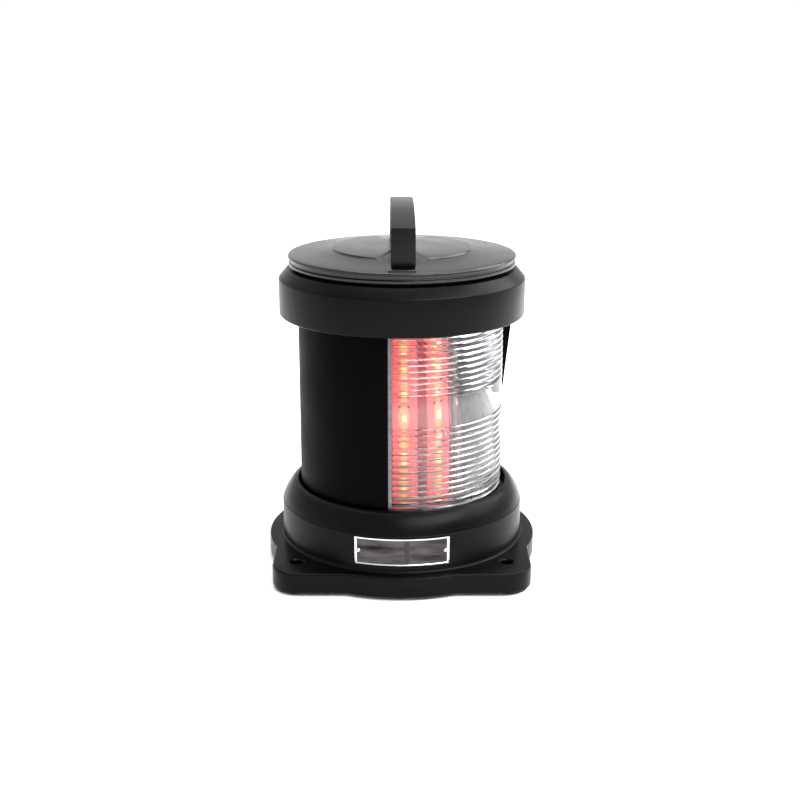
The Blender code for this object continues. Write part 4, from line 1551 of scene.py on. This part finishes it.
@dataclass
class StrapHandle:
    """The strap handle that stands across the lid, front to rear, and its two screws."""

    width: float = 0.0210
    thickness: float = 0.0060
    half_span: float = 0.0900
    foot: float = 0.2896
    crease: float = 0.3230
    rise: float = 0.0114
    yaw: float = 0.7
    edge: float = 0.0009
    screw_head: float = 0.0020
    screw_shank: float = 0.0018

    def build(self) -> None:
        """Raise the strap's side view to its width and round its long edges."""
        shape = bmesh.new()
        inner = self.half_span - self.thickness
        arch = [1 - step / 14 for step in range(29)]
        outline = [(self.half_span, self.foot)]
        outline += [(self.half_span * t, self.crease + self.rise * (1 - t * t)) for t in arch]
        outline += [(-self.half_span, self.foot), (-inner, self.foot)]
        outline += [
            (-inner * t, self.crease - self.thickness + self.rise * (1 - t * t)) for t in arch
        ]
        outline.append((inner, self.foot))
        face = shape.faces.new([shape.verts.new((-self.width / 2, y, z)) for y, z in outline])
        raised(shape, [face], (self.width, 0, 0))
        tidied(shape)
        eased(shape, self.edge, 4, 10)
        bmesh.ops.rotate(
            shape, cent=(0, 0, 0), matrix=Matrix.Rotation(math.radians(self.yaw), 3, "Z"), verts=shape.verts
        )
        holes = drills(numbered("handle_screw", 2), HANDLE_SCREW_BORE, 0.28, 0.3060)
        delivered(combined(shape, holes), "strap_handle", HANDLE_NYLON, "handle", body=Body.LID)
        for number in (1, 2):
            fitted_screw(
                f"handle_screw_{number}", f"handle_fixing_{number}", self.screw_head, self.screw_shank,
                Body.LID,
            )


# ---------------------------------------------------------------- inside


@dataclass
class TieRods:
    """The threaded rods that clamp the lens between base and ring, with their nuts."""

    radius: float = 0.0025
    pitch: float = 0.0008
    threaded: float = 0.0140
    nut_radius: float = 0.0046

    def rod(self, node: str) -> Shape:
        """One rod, plain in the middle and threaded at both ends.

        Args:
            node: the CAD node.

        Returns:
            The rod.
        """
        low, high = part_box(node)
        turns = int(self.threaded / self.pitch)
        thread = []
        for turn in range(turns):
            thread.append((self.radius - 0.0003, turn * self.pitch, 0.0))
            thread.append((self.radius, (turn + 0.5) * self.pitch, 0.0))
        thread.append((self.radius, self.threaded + self.pitch, 0.0))
        upper = [(radius, high.z - depth, 0.0) for radius, depth, _ in thread]
        lower = [(radius, low.z + depth, 0.0) for radius, depth, _ in reversed(thread)]
        corners = [(0.0, high.z, 0.0), *upper, *lower, (0.0, low.z, 0.0)]
        return turned(corners, steps=24, closed=False, matrix=over(node))

    def build(self) -> None:
        """Make each rod and its two nuts."""
        nut = Nut(self.nut_radius, ROD_BORE)
        for number in range(1, 4):
            rod = f"tie_rod_{number}"
            delivered(self.rod(rod), f"clamping_rod_{number}", STEEL, rod)
            for level in ("lower", "upper"):
                node = f"{level}_rod_nut_{number}"
                delivered(nut.shape(node), f"{level}_clamping_nut_{number}", STEEL, node)


@dataclass
class LedModule:
    """The LED column on its carrier: four boards of red LEDs towards the lit sector."""

    bearings: tuple[float, ...] = (2.0, 37.0, 72.0, 107.0)
    # Boards past this number have their domes and glow painted darker: painted shade for LEDs seen at a
    # grazing angle.
    unshaded_boards: int = 2
    column_radius: float = 0.0520
    column_wall: float = 0.0040
    board_back: float = 0.0523
    board_thickness: float = 0.0016
    board_width: float = 0.0240
    board_height: float = 0.1420
    board_middle: float = 0.1470
    pitch: float = 0.0200
    leds: int = 7
    led_size: float = 0.0050
    led_height: float = 0.0011
    dome_radius: float = 0.0019
    dome_flatness: float = 0.35
    chip_offset: float = 0.0042
    carrier_bore: float = 0.0150
    screw_hole: float = 0.0017
    screw_head: float = 0.0018
    screw_shank: float = 0.0014

    def outline(self, radius: float) -> list[Vector]:
        """Flats that face each board's bearing, closed by a round back.

        Args:
            radius: distance from the axis to each flat.

        Returns:
            The outline's points.
        """
        half = (self.bearings[1] - self.bearings[0]) / 2
        corner = radius / math.cos(math.radians(half))
        bearings = [b - half for b in self.bearings] + [self.bearings[-1] + half]
        start = bearings[-1]
        sweep = bearings[0] + 360 - start
        bearings += [start + sweep * step / 36 for step in range(1, 36)]
        return [polar(corner, b).xy for b in bearings]

    def column(self) -> None:
        """The hollow column and its top plate."""
        low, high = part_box("led_column")
        tube = combined(
            eased(prism(self.outline(self.column_radius), low.z, high.z), 0.0005, 3, 25),
            [prism(self.outline(self.column_radius - self.column_wall), low.z - MM, high.z + MM)],
        )
        # The column's deep red is painted light from the LEDs.
        delivered(tube, "extruded_column", RED_LIT_ALUMINIUM, "led_column")
        low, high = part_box("column_cap")
        plate = eased(prism(self.outline(self.column_radius), low.z, high.z), 0.0005, 3, 25)
        plate = combined(plate, [drum(0.0040, low.z - MM, high.z + MM, MEDIUM)])
        delivered(plate, "column_top_plate", ALUMINIUM, "column_cap")

    def carrier(self) -> None:
        """The turned carrier disc under the column, and its two screws."""
        low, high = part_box("lamp_carrier")
        disc = turned([
            (high.x, high.z, 0.0006), (high.x, low.z, 0.0004), (self.carrier_bore, low.z, 0.0004),
            (self.carrier_bore, high.z, 0.0006),
        ])
        holes = drills(numbered("carrier_screw", 2), self.screw_hole, 0.06, 0.08)
        delivered(combined(disc, holes), "carrier_disc", ALUMINIUM, "lamp_carrier")
        for number in (1, 2):
            fitted_screw(
                f"carrier_screw_{number}", f"carrier_fixing_{number}", self.screw_head,
                self.screw_shank, head_up=True,
            )

    def board(self, number: int, bearing: float, finish: LitBoard) -> None:
        """One circuit board with its LEDs, lit domes and series resistors.

        Args:
            number: its number.
            bearing: degrees from -Y towards +X.
            finish: its finish.
        """
        front = self.board_back + self.board_thickness
        centre = outward(self.board_back + self.board_thickness / 2, bearing, self.board_middle)
        size = (self.board_thickness, self.board_width, self.board_height)
        board = eased(block(size, centre), 0.0002, 2)
        delivered(board, f"circuit_board_{number}", finish, f"led_board_{number}")
        cases, domes, chips = [], [], []
        for led in range(self.leds):
            height = self.board_middle + (led - (self.leds - 1) / 2) * self.pitch
            place = outward(front + self.led_height / 2, bearing, height)
            cases.append(eased(block((self.led_height, self.led_size, self.led_size), place), 0.0003, 2))
            crown = outward(front + self.led_height - 0.0001, bearing, height)
            flat = crown @ Matrix.Diagonal((self.dome_flatness, 1, 1, 1))
            domes.append(bmesh.new())
            bmesh.ops.create_uvsphere(
                domes[-1], u_segments=20, v_segments=12, radius=self.dome_radius, matrix=flat
            )
            for side in (1, -1):
                spot = outward(front + 0.0002, bearing, height + self.pitch * 0.36)
                chip = spot @ Matrix.Translation((0, side * self.chip_offset, 0))
                chips.append(eased(block((0.0006, 0.0024, 0.0012), chip), 0.0001, 1))
        delivered(gathered(cases), f"led_cases_{number}", LED_CASE)
        # The side boards take the darker domes and spill: painted shade.
        lit = number <= self.unshaded_boards
        delivered(gathered(domes), f"led_domes_{number}", LED_DOME if lit else SIDE_DOME_PAINTED_SHADE)
        delivered(gathered(chips), f"resistors_{number}", CHIP_BLACK)

    def build(self) -> None:
        """Make the whole module."""
        self.column()
        self.carrier()
        first = self.board_middle - (self.leds - 1) / 2 * self.pitch
        for number, bearing in enumerate(self.bearings, start=1):
            spill = FRONT_SPILL_PAINTED_LIGHT if number <= self.unshaded_boards else SIDE_SPILL_PAINTED_SHADE
            name = f"led_circuit_board_{number}"
            finish = LitBoard(name, "board_white", spill, bearing, self.pitch, first)
            self.board(number, bearing, finish)


@dataclass
class BaseElectrics:
    """What the base holds: the driver, the terminal block, the earth screw and the two leads."""

    finishes: tuple[tuple[str, Finish], ...] = (
        ("led_driver", DRIVER_GREY), ("terminal_block", TERMINAL_CREAM), ("earth_screw", STEEL),
        ("lead_positive", LEAD_RED), ("lead_negative", LEAD_BLACK),
    )

    def build(self) -> None:
        """Dress the hidden electrics."""
        for node, finish in self.finishes:
            carried(node, finish)


# ---------------------------------------------------------------- the studio


@dataclass
class Softbox:
    """A rectangular soft light that faces a point on the lantern."""

    name: str
    spot: tuple[float, float, float]
    size: tuple[float, float]
    power: float
    aim: tuple[float, float, float] = (0.0, 0.0, 0.17)

    def build(self) -> None:
        """Hang the light."""
        lamp = bpy.data.lights.new(self.name, "AREA")
        lamp.shape = "RECTANGLE"
        lamp.size, lamp.size_y = self.size
        lamp.energy = self.power
        holder = bpy.data.objects.new(self.name, lamp)
        bpy.context.scene.collection.objects.link(holder)
        holder.location = self.spot
        holder.rotation_euler = (Vector(self.aim) - Vector(self.spot)).to_track_quat("-Z", "Y").to_euler()
        holder.visible_camera = False


@dataclass
class Studio:
    """A pale floor, a soft even surround and the camera."""

    camera_spot: tuple[float, float, float] = (-0.0017, -1.209, 0.496)
    camera_tilt: float = 73.93
    lens_mm: float = 60.57
    floor_half: float = 30.0
    sky_low: str = "#F4F4F6"
    sky_middle: str = "#E6E6EA"
    sky_high: str = "#242426"

    def camera(self) -> None:
        """Place the camera in front of the lantern, looking slightly down."""
        data = bpy.data.cameras.new("view")
        data.sensor_width = 36.0
        data.lens = self.lens_mm
        data.clip_end = 100.0
        camera = bpy.data.objects.new("view", data)
        bpy.context.scene.collection.objects.link(camera)
        camera.location = self.camera_spot
        camera.rotation_euler = (math.radians(self.camera_tilt), 0.0, 0.0)
        bpy.context.scene.camera = camera

    def floor(self) -> None:
        """A plain pale floor."""
        shape = bmesh.new()
        bmesh.ops.create_grid(shape, x_segments=1, y_segments=1, size=self.floor_half)
        mesh = bpy.data.meshes.new("floor")
        shape.to_mesh(mesh)
        shape.free()
        material = bpy.data.materials.new("pale_floor")
        material.use_nodes = True
        shader = material.node_tree.nodes["Principled BSDF"]
        shader.inputs["Base Color"].default_value = linear("#F7F7F7")
        shader.inputs["Roughness"].default_value = 1.0
        shader.inputs["Specular IOR Level"].default_value = 0.0
        mesh.materials.append(material)
        floor = bpy.data.objects.new("floor", mesh)
        bpy.context.scene.collection.objects.link(floor)

    def surround(self) -> None:
        """White near the horizon and dimmer overhead, so that dark gloss has something to mirror."""
        world = bpy.data.worlds.new("surround")
        bpy.context.scene.world = world
        world.use_nodes = True
        tree = world.node_tree
        place = add_node(tree, "ShaderNodeTexCoord").outputs["Generated"]
        axes = add_node(tree, "ShaderNodeSeparateXYZ", links={"Vector": place})
        fade = add_node(
            tree, "ShaderNodeValToRGB", links={"Fac": axes.outputs["Z"]},
            stops=((0.24, self.sky_low), (0.64, self.sky_high), (0.42, self.sky_middle)),
        )
        background = tree.nodes["Background"]
        tree.links.new(fade.outputs["Color"], background.inputs["Color"])
        background.inputs["Strength"].default_value = 1.2

    def build(self) -> None:
        """Set up the whole studio."""
        self.camera()
        self.floor()
        self.surround()
        sun = bpy.data.lights.new("overhead", "SUN")
        sun.energy = 2.5
        sun.angle = math.radians(50)
        holder = bpy.data.objects.new("overhead", sun)
        holder.rotation_euler = (math.radians(-14), 0.0, 0.0)
        bpy.context.scene.collection.objects.link(holder)
        Softbox("right_softbox", (1.2, 0.35, 1.1), (1.3, 1.0), 24.0).build()
        Softbox("front_softbox", (0.9, -1.05, 1.5), (1.7, 0.8), 46.0).build()
        bpy.context.scene.view_settings.view_transform = "Standard"


def main() -> None:
    """Build the light round its frame and set up the studio."""
    logging.basicConfig(level=logging.INFO, format="%(message)s", stream=sys.stdout)
    for part in (
        Studio(), MountingBase(), Underside(), CableGland(), RatingPlate(), DrumLens(), SectorScreen(),
        CapRing(), BayonetLid(), StrapHandle(), TieRods(), LedModule(), BaseElectrics(),
    ):
        part.build()


if __name__ == "__main__":
    main()
